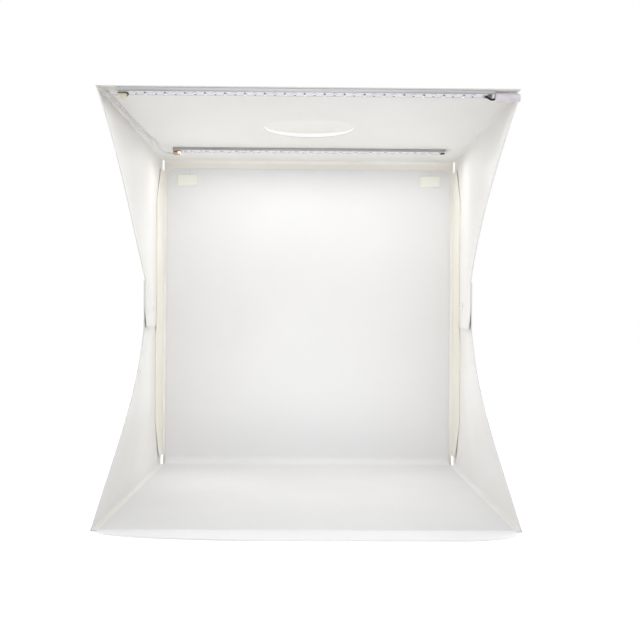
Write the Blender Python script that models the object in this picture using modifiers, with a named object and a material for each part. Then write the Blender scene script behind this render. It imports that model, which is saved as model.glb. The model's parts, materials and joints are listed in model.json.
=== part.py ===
# Folding light box with an open front, of creased white sheet, with two light bars and a hung backdrop.
# Metres, +Z up. The origin is the middle of the floor panel's underside, and the opening faces -Y.

import math

import bmesh
import bpy
from mathutils import Euler, Matrix, Vector

# Sheet body
WIDTH = 0.400
DEPTH = 0.400
HEIGHT = 0.414
SHEET = 0.001
GAP = 0.0003
CREASE_GAP = 0.0008
TOP_SETBACK = 0.010
EDGE_SETBACK = 0.0005

# Side flaps: the lower ones lap outside the upper ones and all bow inwards at the front
LAP = 0.0435
LAP_RISE = 0.00275
FRONT_DRAW = 0.048
LAP_SPREAD = 0.003
SNAP_SPREAD = 0.0024
LAP_GAP = 0.0003
FLAP_COLUMNS = 16
FLAP_ROWS = 16
LAP_ROWS_SHARE = 0.25
BEND_SHARE = 0.06
SQUARING_SHARE = 0.4
LOWER_SLOPE_SHARES = {-1: (1.15, 0.30), 1: (1.20, 0.26)}
UPPER_SLOPE_SHARES = {-1: (1.45, 0.90), 1: (1.36, 0.50)}
SNAP_SWELL_SHARE = 0.34

# Back flanges, tucked inside the flaps
FLANGE_DEPTH = 0.051
FLANGE_LOW = 0.012
FLANGE_DROP = 0.016
FLANGE_TAPER = 0.050
FLANGE_END_SHARE = 0.45
FLANGE_PLAY = 0.0006

# Window in the top panel and its cover, which stands a little open
WINDOW_RADIUS = 0.051
WINDOW_BACK = 0.190
WINDOW_CHORD_SHARE = 0.86
WINDOW_CUT = 0.0005
COVER_AJAR = math.radians(3)
ROUND_STEPS = 48

# Front lip on the table
LIP_REACH = 0.035
LIP_SIDE = 0.005
LIP_LEFT_CORNER = 0.160
LIP_RIGHT_CORNER = 0.058
CORNER_STEPS = 8

# Backdrop and what hangs it
BACKDROP = 0.0005
BACKDROP_SIDE = 0.008
BACKDROP_DROP = 0.012
BACKDROP_CORNER = 0.012
BACKDROP_FRONT = 0.002
PATCH_WIDTH = 0.027
PATCH_HEIGHT = 0.015
PATCH_THICK = 0.0004
PATCH_SIDE = 0.0275
PATCH_DROP = 0.0163
STUD_DROP = 0.0048
STUD_HEAD_RADIUS = 0.0029
STUD_HEAD = 0.0010
STUD_SHANK_RADIUS = 0.0012
STUD_PLAY = 0.0004

# Light bars, both alike
BAR_SIDE = 0.027
FRONT_BAR_X = -0.0045
REAR_BAR_X = 0.002
BAR_WIDTH = 0.0165
BAR_HEIGHT = 0.0045
BAR_WALL = 0.001
BAR_LIP = 0.0003
BAR_LEDGE = 0.001
BOARD = 0.0014
TAPE = 0.0004
TAPE_WIDTH = 0.012
FRONT_BAR_EDGE = 0.0006
REAR_BAR_BACK = 0.312
BAR_END = 0.0127
LED_LENGTH = 0.0034
LED_WIDTH = 0.0027
LED_HEIGHT = 0.0009
LED_PITCH = 0.0094
LED_ROW_APART = 0.005
RESISTOR_LENGTH = 0.0020
RESISTOR_WIDTH = 0.0012
RESISTOR_HEIGHT = 0.0006
CONNECTOR_LENGTH = 0.010
CONNECTOR_WIDTH = 0.008
CONNECTOR_HEIGHT = 0.0032
TAB_LENGTH = 0.005
TAB_HEIGHT = 0.0012
BOARD_PLAY = 0.0002

# Link cable along the top left fold; its route is measured from the box's top left front corner
CABLE_RADIUS = 0.0008
CABLE_POINTS = 76
CABLE_ROUTE = [
    (0.0213, 0.0178, -0.0079),
    (0.0176, 0.0176, -0.0079),
    (0.0130, 0.0178, -0.0070),
    (0.0096, 0.0200, -0.0046),
    (0.0080, 0.0255, -0.0027),
    (0.0076, 0.0400, -0.0022),
    (0.0080, 0.0900, -0.0023),
    (0.0080, 0.1500, -0.0023),
    (0.0092, 0.2150, -0.0025),
    (0.0122, 0.2440, -0.0034),
    (0.0138, 0.2640, -0.0042),
    (0.0150, 0.2860, -0.0056),
    (0.0195, 0.3050, -0.0075),
    (0.0278, 0.3110, -0.0079),
]

# Power socket in front of the right flap's corner
SOCKET_RADIUS = 0.0047
SOCKET_GAP = 0.0072
SOCKET_BARREL = 0.0145
SOCKET_TAPER = 0.0095
SOCKET_END_RADIUS = 0.0038
SOCKET_BORE_RADIUS = 0.0029
SOCKET_BORE_DEPTH = 0.0100
SOCKET_EDGE = 0.0006
SOCKET_BACK_RADIUS = 0.0037
SLEEVE_WALL = 0.0003
SLEEVE_LENGTH = 0.0085
PIN_RADIUS = 0.0009
PIN_LENGTH = 0.0080
LEAD_RADIUS = 0.0008
LEAD_APART = 0.0022
LEAD_LENGTH = 0.0095
NOTCH_DEPTH = 0.0160
NOTCH_DROP = 0.0155

# Side snaps
SNAP_BACK = 0.145
CAP_RADIUS = 0.0055
CAP_THICK = 0.0013
CAP_POST_RADIUS = 0.0014
RING_RADIUS = 0.0048
RING_HEIGHT = 0.0019
RING_BASE = 0.0007
RING_BORE = 0.0024
STUD_FLANGE_RADIUS = 0.0042
STUD_FLANGE = 0.0007
STUD_BALL_RADIUS = 0.0020
STUD_BALL = 0.0012
STUD_NECK_SHARE = 0.8
RIVET_RADIUS = 0.0045
RIVET_THICK = 0.0011
RIVET_POST_RADIUS = 0.0009
SNAP_PLAY = 0.0004
SNAP_STEPS = 20

# Tolerances of the modelling itself
MERGE = 0.00001
OVERRUN = 0.004
SLOPE_SHARE = 0.001
AIM_ROUNDS = 4

# Colour as sRGB shares, roughness, metallic
FINISHES = {
    "sheet": ((0.94, 0.94, 0.93), 0.55, 0.0),
    "backdrop": ((0.95, 0.95, 0.95), 0.60, 0.0),
    "patch": ((0.93, 0.93, 0.90), 0.90, 0.0),
    "aluminium": ((0.76, 0.76, 0.77), 0.35, 1.0),
    "board": ((0.95, 0.95, 0.98), 0.45, 0.0),
    "tape": ((0.90, 0.90, 0.90), 0.80, 0.0),
    "brass": ((0.80, 0.72, 0.45), 0.35, 1.0),
    "amber": ((0.66, 0.42, 0.24), 0.40, 0.0),
    "cable": ((0.62, 0.61, 0.62), 0.50, 0.0),
    "black": ((0.05, 0.05, 0.05), 0.50, 0.0),
    "shell": ((0.89, 0.87, 0.90), 0.35, 0.0),
    "nickel": ((0.78, 0.78, 0.80), 0.25, 1.0),
}

# Local axes of a flat piece: its outline's X and Y, and its thickness along Z
FLAT = Euler((0, 0, 0))
UPRIGHT = Euler((math.radians(90), 0, 0))
SIDEWAYS = Euler((math.radians(90), 0, math.radians(90)))

# Faces and edges that several pieces share
HALF = WIDTH / 2
FRONT = -DEPTH / 2
REAR = DEPTH / 2
BACK_FACE = REAR - SHEET
UNDER_TOP = HEIGHT - SHEET
PANEL_HALF = HALF - SHEET - CREASE_GAP
SNAP_Z = HEIGHT / 2 + LAP_RISE
LAP_TOP = SNAP_Z + LAP / 2
LAP_LOW = SNAP_Z - LAP / 2
LOWER_REACH = LAP_TOP
UPPER_REACH = HEIGHT - LAP_LOW
UPPER_LAP_SHARE = (HEIGHT - LAP_TOP) / UPPER_REACH
LOWER_LAP_SHARE = LAP_LOW / LOWER_REACH
SNAP_SHARE = (DEPTH - SNAP_BACK) / DEPTH
REAR_STEP = SHEET + LAP_GAP
FLANGE_OUTER = HALF - REAR_STEP - SHEET - FLANGE_PLAY
FLANGE_INNER = FLANGE_OUTER - SHEET
BACK_HALF = FLANGE_INNER
TOP_FRONT = FRONT + TOP_SETBACK
FLANGE_HIGH = HEIGHT - FLANGE_DROP
WINDOW_Y = FRONT + WINDOW_BACK
COVER_HINGE_Y = WINDOW_Y - WINDOW_RADIUS * WINDOW_CHORD_SHARE
BACKDROP_HALF = HALF - BACKDROP_SIDE
BACKDROP_TOP = HEIGHT - BACKDROP_DROP
PATCH_X = BACKDROP_HALF - PATCH_SIDE
PATCH_Z = BACKDROP_TOP - PATCH_DROP
STUD_Z = BACKDROP_TOP - STUD_DROP
BACKDROP_WALL_Y = BACK_FACE - GAP - BACKDROP
PATCH_Y = BACKDROP_WALL_Y - GAP - PATCH_THICK
FLANGE_AXIS_Y = PATCH_Y - GAP
BAR_TOP = UNDER_TOP - GAP - TAPE - GAP
BAR_BASE = BAR_TOP - BAR_HEIGHT
BOARD_BASE = BAR_BASE + BAR_LIP + BOARD_PLAY
BAR_LENGTH = WIDTH - 2 * BAR_SIDE
FRONT_BAR_Y = TOP_FRONT + FRONT_BAR_EDGE + BAR_WIDTH / 2
REAR_BAR_Y = FRONT + REAR_BAR_BACK
LED_COUNT = int((BAR_LENGTH - 2 * BAR_END) / LED_PITCH) + 1
SOCKET_START = FRONT_BAR_X + BAR_LENGTH / 2 + SOCKET_GAP
SOCKET_Z = UNDER_TOP - GAP - SOCKET_RADIUS - GAP


def linear(share):
    # sRGB share of full brightness to linear light
    return ((share + 0.055) / 1.055) ** 2.4 if share > 0.04045 else share / 12.92


def finish(name):
    found = bpy.data.materials.get(name)
    if found:
        return found
    colour, roughness, metallic = FINISHES[name]
    made = bpy.data.materials.new(name)
    made.use_nodes = True
    shader = made.node_tree.nodes["Principled BSDF"]
    shader.inputs["Base Color"].default_value = (*[linear(c) for c in colour], 1)
    shader.inputs["Roughness"].default_value = roughness
    shader.inputs["Metallic"].default_value = metallic
    return made


def group(name, hidden=False):
    made = bpy.data.collections.new(name)
    made.hide_render = hidden
    bpy.context.scene.collection.children.link(made)
    return made


def keep(name, data, look, location=(0, 0, 0), rotation=FLAT):
    # One named piece in the object's own collection
    obj = bpy.data.objects.new(name, data)
    obj.location = location
    obj.rotation_euler = rotation
    obj.data.materials.append(finish(look))
    bpy.data.collections["light_box"].objects.link(obj)
    return obj


def cutter(name, mesh, location, rotation=FLAT):
    obj = bpy.data.objects.new(name, mesh)
    obj.location = location
    obj.rotation_euler = rotation
    obj.hide_render = True
    obj.display_type = "WIRE"
    bpy.data.collections["cutters"].objects.link(obj)
    return obj


def combine(obj, tool, operation):
    # Cuts the tool's shape out of a piece, or fuses it on
    modifier = obj.modifiers.new(tool.name, "BOOLEAN")
    modifier.operation = operation
    modifier.object = tool


def plate(name, outlines, thickness, look, location, rotation):
    # A flat piece: closed outlines, the later ones holes in the first, centred on its middle plane
    curve = bpy.data.curves.new(name, "CURVE")
    curve.dimensions = "2D"
    curve.fill_mode = "BOTH"
    curve.extrude = thickness / 2
    for outline in outlines:
        spline = curve.splines.new("POLY")
        spline.points.add(len(outline) - 1)
        for point, (x, y) in zip(spline.points, outline):
            point.co = (x, y, 0, 1)
        spline.use_cyclic_u = True
    return keep(name, curve, look, location, rotation)


def rectangle(left, right, low, high):
    return [(left, low), (right, low), (right, high), (left, high)]


def arc(x, y, radius, start, end, steps, stretch=1):
    # Points of an arc from start to end in radians; stretch scales it along Y
    turns = [start + (end - start) * n / steps for n in range(steps + 1)]
    return [(x + radius * math.cos(t), y + radius * stretch * math.sin(t)) for t in turns]


def circle(x, y, radius, steps):
    return arc(x, y, radius, 0, math.tau, steps)[:-1]


def box_mesh(name, size, places=((0, 0, 0),)):
    # Boxes of one size, one at each place
    bm = bmesh.new()
    for place in places:
        matrix = Matrix.Translation(place) @ Matrix.Diagonal((*size, 1))
        bmesh.ops.create_cube(bm, size=1, matrix=matrix)
    mesh = bpy.data.meshes.new(name)
    bm.to_mesh(mesh)
    bm.free()
    return mesh


def cylinder_mesh(name, radius, length, steps):
    bm = bmesh.new()
    bmesh.ops.create_cone(
        bm, cap_ends=True, segments=steps, radius1=radius, radius2=radius, depth=length
    )
    mesh = bpy.data.meshes.new(name)
    bm.to_mesh(mesh)
    bm.free()
    return mesh


def turned(name, profile, look, location, direction, steps):
    # A turned piece: its profile of (radius, height) runs down its outer side, spun about its own Z
    mesh = bpy.data.meshes.new(name)
    points = [(radius, 0, height) for radius, height in profile]
    mesh.from_pydata(points, [(n, n + 1) for n in range(len(points) - 1)], [])
    turn = Vector((0, 0, 1)).rotation_difference(direction).to_euler()
    obj = keep(name, mesh, look, location, turn)
    screw = obj.modifiers.new("turn", "SCREW")
    screw.steps = steps
    screw.render_steps = steps
    screw.use_merge_vertices = True
    screw.merge_threshold = MERGE
    screw.use_smooth_shade = True
    return obj


def smooth_route(route, count):
    # Points at even steps along a smooth curve through the route's own points
    stops = [Vector(point) for point in route]
    stops = [stops[0] * 2 - stops[1], *stops, stops[-1] * 2 - stops[-2]]
    fine = []
    shares = [n / count for n in range(count)]
    for before, start, end, after in zip(stops, stops[1:], stops[2:], stops[3:]):
        for t in shares:
            bend = (before * 2 - start * 5 + end * 4 - after) * t * t
            twist = (start * 3 - before - end * 3 + after) * t * t * t
            fine.append((start * 2 + (end - before) * t + bend + twist) / 2)
    fine.append(stops[-2])
    lengths = [0]
    for one, two in zip(fine, fine[1:]):
        lengths.append(lengths[-1] + (two - one).length)
    points = []
    place = 0
    for n in range(count):
        reach = lengths[-1] * n / (count - 1)
        while place < len(fine) - 2 and lengths[place + 1] < reach:
            place += 1
        share = (reach - lengths[place]) / (lengths[place + 1] - lengths[place])
        points.append(fine[place].lerp(fine[place + 1], share))
    return points


def tube(name, points, radius, look):
    curve = bpy.data.curves.new(name, "CURVE")
    curve.dimensions = "3D"
    curve.bevel_depth = radius
    curve.bevel_resolution = 2
    curve.use_fill_caps = True
    spline = curve.splines.new("POLY")
    spline.points.add(len(points) - 1)
    for point, place in zip(spline.points, points):
        point.co = (*place, 1)
    return keep(name, curve, look)


def bow_share(t, start_slope, end_slope):
    # How far a flap is drawn in, from its crease at 0 to the lap at 1
    square, cube = t * t, t * t * t
    return (
        start_slope * (cube - 2 * square + t)
        + end_slope * (cube - square)
        + 3 * square
        - 2 * cube
    )


def lean_share(depth_share):
    # How much of the draw a point takes, from the rear at 0 to the front at 1: none beside the back flange
    past = (depth_share * DEPTH - FLANGE_DEPTH) / (DEPTH - FLANGE_DEPTH)
    if past <= 0:
        return 0
    if past < 2 * BEND_SHARE:
        return past * past / (4 * BEND_SHARE) / (1 - BEND_SHARE)
    return (past - BEND_SHARE) / (1 - BEND_SHARE)


def row_share(b, lap_start):
    # Rows of a flap, spaced so that one of them lies where the lap starts
    before = 1 - LAP_ROWS_SHARE
    if b <= before:
        return b / before * lap_start
    return lap_start + (b - before) / LAP_ROWS_SHARE * (1 - lap_start)


def lower_inset(side, a, b):
    t = min(1, b / LOWER_LAP_SHARE)
    return FRONT_DRAW * lean_share(a) * bow_share(t, *LOWER_SLOPE_SHARES[side])


def lower_point(side, a, b):
    # Outer face of a lower flap; a runs from rear to front and b from the crease to the free end
    y = REAR + (FRONT + EDGE_SETBACK - REAR) * a
    return Vector((side * (HALF - lower_inset(side, a, b)), y, b * LOWER_REACH))


def upper_inset(side, a, b):
    # Inside the lower flap by its thickness, and further round the snap and towards its own free end
    t = min(1, b / UPPER_LAP_SHARE)
    drawn = (FRONT_DRAW * lean_share(a) + REAR_STEP) * bow_share(t, *UPPER_SLOPE_SHARES[side])
    lap = max(0, (b - UPPER_LAP_SHARE) / (1 - UPPER_LAP_SHARE))
    beside = min(1, abs(a - SNAP_SHARE) / SNAP_SWELL_SHARE)
    swell = SNAP_SPREAD * math.cos(beside * math.pi / 2) ** 2 * t ** 3
    return drawn + LAP_SPREAD * lean_share(a) * lap + swell


def upper_point(side, a, b):
    # Outer face of an upper flap; its front edge starts at the top panel's and comes forward to the lap
    squared = min(1, b / SQUARING_SHARE)
    front = TOP_FRONT + (FRONT + EDGE_SETBACK - TOP_FRONT) * squared * (2 - squared)
    y = REAR + (front - REAR) * a
    return Vector((side * (HALF - upper_inset(side, a, b)), y, HEIGHT - b * UPPER_REACH))


def flap(name, side, surface, lap_start):
    # A bowed sheet: a grid laid on the surface and extruded towards the inside
    bm = bmesh.new()
    bmesh.ops.create_grid(bm, x_segments=FLAP_COLUMNS, y_segments=FLAP_ROWS, size=1)
    for vert in bm.verts:
        a = (vert.co.x + 1) / 2
        b = row_share((vert.co.y + 1) / 2, lap_start)
        vert.co = surface(side, a, b)
    made = bmesh.ops.extrude_face_region(bm, geom=bm.faces[:], use_keep_orig=True)
    inner = [item for item in made["geom"] if isinstance(item, bmesh.types.BMVert)]
    bmesh.ops.translate(bm, verts=inner, vec=(-side * SHEET, 0, 0))
    bmesh.ops.recalc_face_normals(bm, faces=bm.faces[:])
    mesh = bpy.data.meshes.new(name)
    bm.to_mesh(mesh)
    bm.free()
    mesh.shade_smooth()
    mesh.set_sharp_from_angle(angle=math.radians(30))
    return keep(name, mesh, "sheet")


def surface_frame(surface, side, a, b):
    # Point on a flap's outer face and the direction that points out of the box there
    here = surface(side, a, b)
    along = surface(side, a + SLOPE_SHARE, b) - here
    down = surface(side, a, b + SLOPE_SHARE) - here
    normal = along.cross(down).normalized()
    return here, normal if normal.x * side > 0 else -normal


def facing_shares(side, start, direction):
    # Where a line from the upper flap comes out of the lower flap's outer face
    reach = 0
    for _ in range(AIM_ROUNDS):
        at = start + direction * reach
        a = (REAR - at.y) / (DEPTH - EDGE_SETBACK)
        b = at.z / LOWER_REACH
        reach += (lower_point(side, a, b).x - at.x) / direction.x
    return a, b


def snap(side, tag, upper, lower):
    # One side snap, its four turned pieces, and the holes in both flaps
    upper_b = (HEIGHT - SNAP_Z) / UPPER_REACH
    upper_at, out = surface_frame(upper_point, side, SNAP_SHARE, upper_b)
    lower_shares = facing_shares(side, upper_at, out)
    lower_at, lower_out = surface_frame(lower_point, side, *lower_shares)
    cap_top = -SHEET - GAP
    ring_low = GAP
    ring_top = ring_low + RING_HEIGHT
    ring_floor = ring_low + RING_BASE
    cap_profile = [
        (0, ring_floor - GAP),
        (CAP_POST_RADIUS, ring_floor - GAP),
        (CAP_POST_RADIUS, cap_top),
        (CAP_RADIUS, cap_top),
        (CAP_RADIUS, cap_top - CAP_THICK / 3),
        (CAP_RADIUS * 0.8, cap_top - CAP_THICK * 0.85),
        (CAP_RADIUS * 0.45, cap_top - CAP_THICK),
        (0, cap_top - CAP_THICK),
    ]
    turned("snap_cap_" + tag, cap_profile, "nickel", upper_at, out, SNAP_STEPS)
    post_hole = CAP_POST_RADIUS + SNAP_PLAY
    ring_profile = [
        (post_hole, ring_floor),
        (RING_BORE, ring_floor),
        (RING_BORE, ring_top),
        (RING_RADIUS * 0.85, ring_top),
        (RING_RADIUS, ring_floor),
        (RING_RADIUS, ring_low),
        (post_hole, ring_low),
        (post_hole, ring_floor),
    ]
    turned("snap_socket_" + tag, ring_profile, "nickel", upper_at, out, SNAP_STEPS)
    stud_top = -SHEET - GAP
    stud_low = stud_top - STUD_FLANGE
    rivet_end = stud_low
    rivet_hole = RIVET_POST_RADIUS + SNAP_PLAY
    stud_profile = [
        (0, rivet_end - GAP),
        (rivet_hole, rivet_end - GAP),
        (rivet_hole, stud_top),
        (STUD_FLANGE_RADIUS, stud_top),
        (STUD_FLANGE_RADIUS, stud_low),
        (STUD_BALL_RADIUS * STUD_NECK_SHARE, stud_low),
        (STUD_BALL_RADIUS, stud_low - STUD_BALL / 2),
        (STUD_BALL_RADIUS * STUD_NECK_SHARE, stud_low - STUD_BALL),
        (0, stud_low - STUD_BALL),
    ]
    turned("snap_stud_" + tag, stud_profile, "nickel", lower_at, lower_out, SNAP_STEPS)
    rivet_profile = [
        (0, GAP + RIVET_THICK),
        (RIVET_RADIUS * 0.6, GAP + RIVET_THICK),
        (RIVET_RADIUS, GAP + RIVET_THICK * 0.4),
        (RIVET_RADIUS, GAP),
        (RIVET_POST_RADIUS, GAP),
        (RIVET_POST_RADIUS, rivet_end),
        (0, rivet_end),
    ]
    turned("snap_rivet_" + tag, rivet_profile, "nickel", lower_at, lower_out, SNAP_STEPS)
    for panel, at, direction, radius in (
        (upper, upper_at, out, post_hole),
        (lower, lower_at, lower_out, rivet_hole),
    ):
        hole = cylinder_mesh(panel.name + "_hole", radius, OVERRUN, SNAP_STEPS)
        turn = Vector((0, 0, 1)).rotation_difference(direction).to_euler()
        middle = at - direction * SHEET / 2
        combine(panel, cutter(panel.name + "_hole", hole, middle, turn), "DIFFERENCE")


def window_outline(radius, hinge_y):
    # A circle cut off by the crease at its front, as points round the window's middle
    half_chord = math.acos((WINDOW_Y - hinge_y) / radius)
    start = -math.pi / 2 + half_chord
    end = math.tau - math.pi / 2 - half_chord
    return arc(0, WINDOW_Y, radius, start, end, ROUND_STEPS)


def make_panels():
    middle = SHEET / 2
    floor_outline = rectangle(-PANEL_HALF, PANEL_HALF, FRONT, BACK_FACE - GAP)
    plate("floor_panel", [floor_outline], SHEET, "sheet", (0, 0, middle), FLAT)
    stud_hole = STUD_SHANK_RADIUS + STUD_PLAY
    holes = [circle(side * PATCH_X, STUD_Z, stud_hole, SNAP_STEPS) for side in (-1, 1)]
    back_outline = rectangle(-BACK_HALF, BACK_HALF, 0, UNDER_TOP - GAP)
    back_at = (0, REAR - middle, 0)
    plate("back_panel", [back_outline, *holes], SHEET, "sheet", back_at, UPRIGHT)
    top_outline = rectangle(-PANEL_HALF, PANEL_HALF, TOP_FRONT, BACK_FACE - GAP)
    window = window_outline(WINDOW_RADIUS, COVER_HINGE_Y)
    top_at = (0, 0, HEIGHT - middle)
    plate("top_panel", [top_outline, window], SHEET, "sheet", top_at, FLAT)


def make_window_cover():
    # Its origin lies on the crease, at the top panel's upper face, and it stands ajar
    outline = window_outline(WINDOW_RADIUS - WINDOW_CUT, COVER_HINGE_Y + WINDOW_CUT)
    outline = [(x, y - COVER_HINGE_Y) for x, y in outline]
    turn = Euler((COVER_AJAR, 0, 0))
    middle = Vector((0, COVER_HINGE_Y, HEIGHT)) - turn.to_matrix() @ Vector((0, 0, SHEET / 2))
    plate("window_cover", [outline], SHEET, "sheet", middle, turn)


def make_lip():
    # A tuck flap with long rounded ends, the left one longer
    root = FRONT - GAP
    end = HALF - LIP_SIDE
    right_drop = LIP_REACH / LIP_RIGHT_CORNER
    left_drop = LIP_REACH / LIP_LEFT_CORNER
    right_x = end - LIP_RIGHT_CORNER
    left_x = LIP_LEFT_CORNER - end
    quarter = math.pi / 2
    right = arc(right_x, root, LIP_RIGHT_CORNER, 0, -quarter, CORNER_STEPS, right_drop)
    left = arc(left_x, root, LIP_LEFT_CORNER, -quarter, -math.pi, CORNER_STEPS, left_drop)
    plate("front_lip", [[*right, *left]], SHEET, "sheet", (0, 0, SHEET / 2), FLAT)


def make_flanges():
    tip = FLANGE_AXIS_Y - (FLANGE_DEPTH - (REAR - FLANGE_AXIS_Y))
    root = FLANGE_AXIS_Y + FLANGE_PLAY
    end = root + (tip - root) * FLANGE_END_SHARE
    outline = [
        (root, FLANGE_LOW),
        (root, FLANGE_HIGH),
        (end, FLANGE_HIGH),
        (tip, FLANGE_HIGH - FLANGE_TAPER),
        (tip, FLANGE_LOW + FLANGE_TAPER),
        (end, FLANGE_LOW),
    ]
    for side, tag in ((-1, "left"), (1, "right")):
        at = (side * (FLANGE_INNER + FLANGE_OUTER) / 2, 0, 0)
        plate("back_flange_" + tag, [outline], SHEET, "sheet", at, SIDEWAYS)


def make_flaps():
    for side, tag in ((-1, "left"), (1, "right")):
        upper = flap("upper_flap_" + tag, side, upper_point, UPPER_LAP_SHARE)
        lower = flap("lower_flap_" + tag, side, lower_point, LOWER_LAP_SHARE)
        snap(side, tag, upper, lower)
    notch_size = (2 * NOTCH_DROP, 2 * NOTCH_DEPTH, 2 * NOTCH_DROP)
    notch = cutter("socket_notch", box_mesh("socket_notch", notch_size), (HALF, TOP_FRONT, HEIGHT))
    combine(bpy.data.objects["upper_flap_right"], notch, "DIFFERENCE")


def make_backdrop():
    # The wall part hangs on two studs and the floor part lies on the floor panel
    half = BACKDROP_HALF
    middle = BACKDROP / 2
    low = SHEET + GAP + BACKDROP + GAP
    corner_x = half - BACKDROP_CORNER
    corner_z = BACKDROP_TOP - BACKDROP_CORNER
    quarter = math.pi / 2
    wall = [
        (-half, low),
        (half, low),
        *arc(corner_x, corner_z, BACKDROP_CORNER, 0, quarter, CORNER_STEPS),
        *arc(-corner_x, corner_z, BACKDROP_CORNER, quarter, math.pi, CORNER_STEPS),
    ]
    stud_hole = STUD_SHANK_RADIUS + STUD_PLAY
    holes = [circle(side * PATCH_X, STUD_Z, stud_hole, SNAP_STEPS) for side in (-1, 1)]
    wall_at = (0, BACKDROP_WALL_Y + middle, 0)
    plate("backdrop_wall", [wall, *holes], BACKDROP, "backdrop", wall_at, UPRIGHT)
    floor = rectangle(-half, half, FRONT + BACKDROP_FRONT, BACKDROP_WALL_Y - GAP)
    floor_at = (0, 0, SHEET + GAP + middle)
    plate("backdrop_floor", [floor], BACKDROP, "backdrop", floor_at, FLAT)
    patch_size = (PATCH_WIDTH, PATCH_THICK, PATCH_HEIGHT)
    for side, tag in ((-1, "left"), (1, "right")):
        name = "backdrop_patch_" + tag
        patch_at = (side * PATCH_X, PATCH_Y + PATCH_THICK / 2, PATCH_Z)
        keep(name, box_mesh(name, patch_size), "patch", patch_at)


def make_backdrop_studs():
    # Round heads in front of the sheet, their shanks through it and into the back panel
    head_back = BACKDROP_WALL_Y - GAP
    profile = [
        (0, STUD_HEAD),
        (STUD_HEAD_RADIUS * 0.7, STUD_HEAD),
        (STUD_HEAD_RADIUS, STUD_HEAD * 0.4),
        (STUD_HEAD_RADIUS, 0),
        (STUD_SHANK_RADIUS, 0),
        (STUD_SHANK_RADIUS, head_back - REAR + GAP),
        (0, head_back - REAR + GAP),
    ]
    for side, tag in ((-1, "left"), (1, "right")):
        at = (side * PATCH_X, head_back, STUD_Z)
        turned("backdrop_stud_" + tag, profile, "patch", at, Vector((0, -1, 0)), SNAP_STEPS)


def channel_outline():
    # Half of an extruded channel that is open below, with a groove for the board, then its mirror image
    half = BAR_WIDTH / 2
    inner = half - BAR_WALL
    ledge = BAR_LIP + BOARD_PLAY + BOARD + BOARD_PLAY
    right = [
        (half, BAR_HEIGHT),
        (half, 0),
        (inner - BAR_LEDGE / 2, 0),
        (inner - BAR_LEDGE / 2, BAR_LIP),
        (inner, BAR_LIP),
        (inner, ledge),
        (inner - BAR_LEDGE, ledge),
        (inner - BAR_LEDGE, ledge + BAR_LEDGE),
        (inner, ledge + BAR_LEDGE),
        (inner, BAR_HEIGHT - BAR_WALL),
    ]
    return [*right, *[(-y, z) for y, z in reversed(right)]]


def bar_box(name, x, y, top, size, look):
    # A box that belongs to a bar, placed by the middle of its upper face
    return keep(name, box_mesh(name, size), look, (x, y, top - size[2] / 2))


def staggered(name, row_side, size):
    # One small part at each pitch along a board, on alternate sides of its middle
    first = -LED_PITCH * (LED_COUNT - 1) / 2
    places = []
    for n in range(LED_COUNT):
        row = row_side if n % 2 else -row_side
        places.append((first + LED_PITCH * n, row * LED_ROW_APART / 2, 0))
    return box_mesh(name, size, places)


def make_bar(tag, x, y, connector_look):
    channel_at = (x, y, BAR_BASE)
    plate(tag + "_bar_channel", [channel_outline()], BAR_LENGTH, "aluminium", channel_at, SIDEWAYS)
    tape_size = (BAR_LENGTH, TAPE_WIDTH, TAPE)
    bar_box(tag + "_bar_tape", x, y, UNDER_TOP - GAP, tape_size, "tape")
    board_size = (BAR_LENGTH, BAR_WIDTH - 2 * BAR_WALL - 2 * BOARD_PLAY, BOARD)
    board = bar_box(tag + "_bar_board", x, y, BOARD_BASE + BOARD, board_size, "board")
    led_size = (LED_LENGTH, LED_WIDTH, 2 * LED_HEIGHT)
    resistor_size = (RESISTOR_LENGTH, RESISTOR_WIDTH, 2 * RESISTOR_HEIGHT)
    parts_at = (x, y, BOARD_BASE)
    for name, side, size in (("_leds", 1, led_size), ("_resistors", -1, resistor_size)):
        tool_name = tag + name
        tool = cutter(tool_name, staggered(tool_name, side, size), parts_at)
        combine(board, tool, "UNION")
    connector_size = (CONNECTOR_LENGTH, CONNECTOR_WIDTH, CONNECTOR_HEIGHT)
    connector_x = x - BAR_LENGTH / 2 + CONNECTOR_LENGTH / 2
    bar_box(tag + "_bar_connector", connector_x, y, BOARD_BASE - GAP, connector_size, connector_look)


def make_bars():
    make_bar("front", FRONT_BAR_X, FRONT_BAR_Y, "brass")
    make_bar("rear", REAR_BAR_X, REAR_BAR_Y, "amber")
    tab_size = (TAB_LENGTH, CONNECTOR_WIDTH, TAB_HEIGHT)
    tab_x = REAR_BAR_X + BAR_LENGTH / 2 - TAB_LENGTH / 2
    bar_box("rear_bar_end_tab", tab_x, REAR_BAR_Y, BOARD_BASE - GAP, tab_size, "black")


def make_cable():
    cable = tube("link_cable", smooth_route(CABLE_ROUTE, CABLE_POINTS), CABLE_RADIUS, "cable")
    cable.location = (-HALF, FRONT, HEIGHT)


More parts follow.
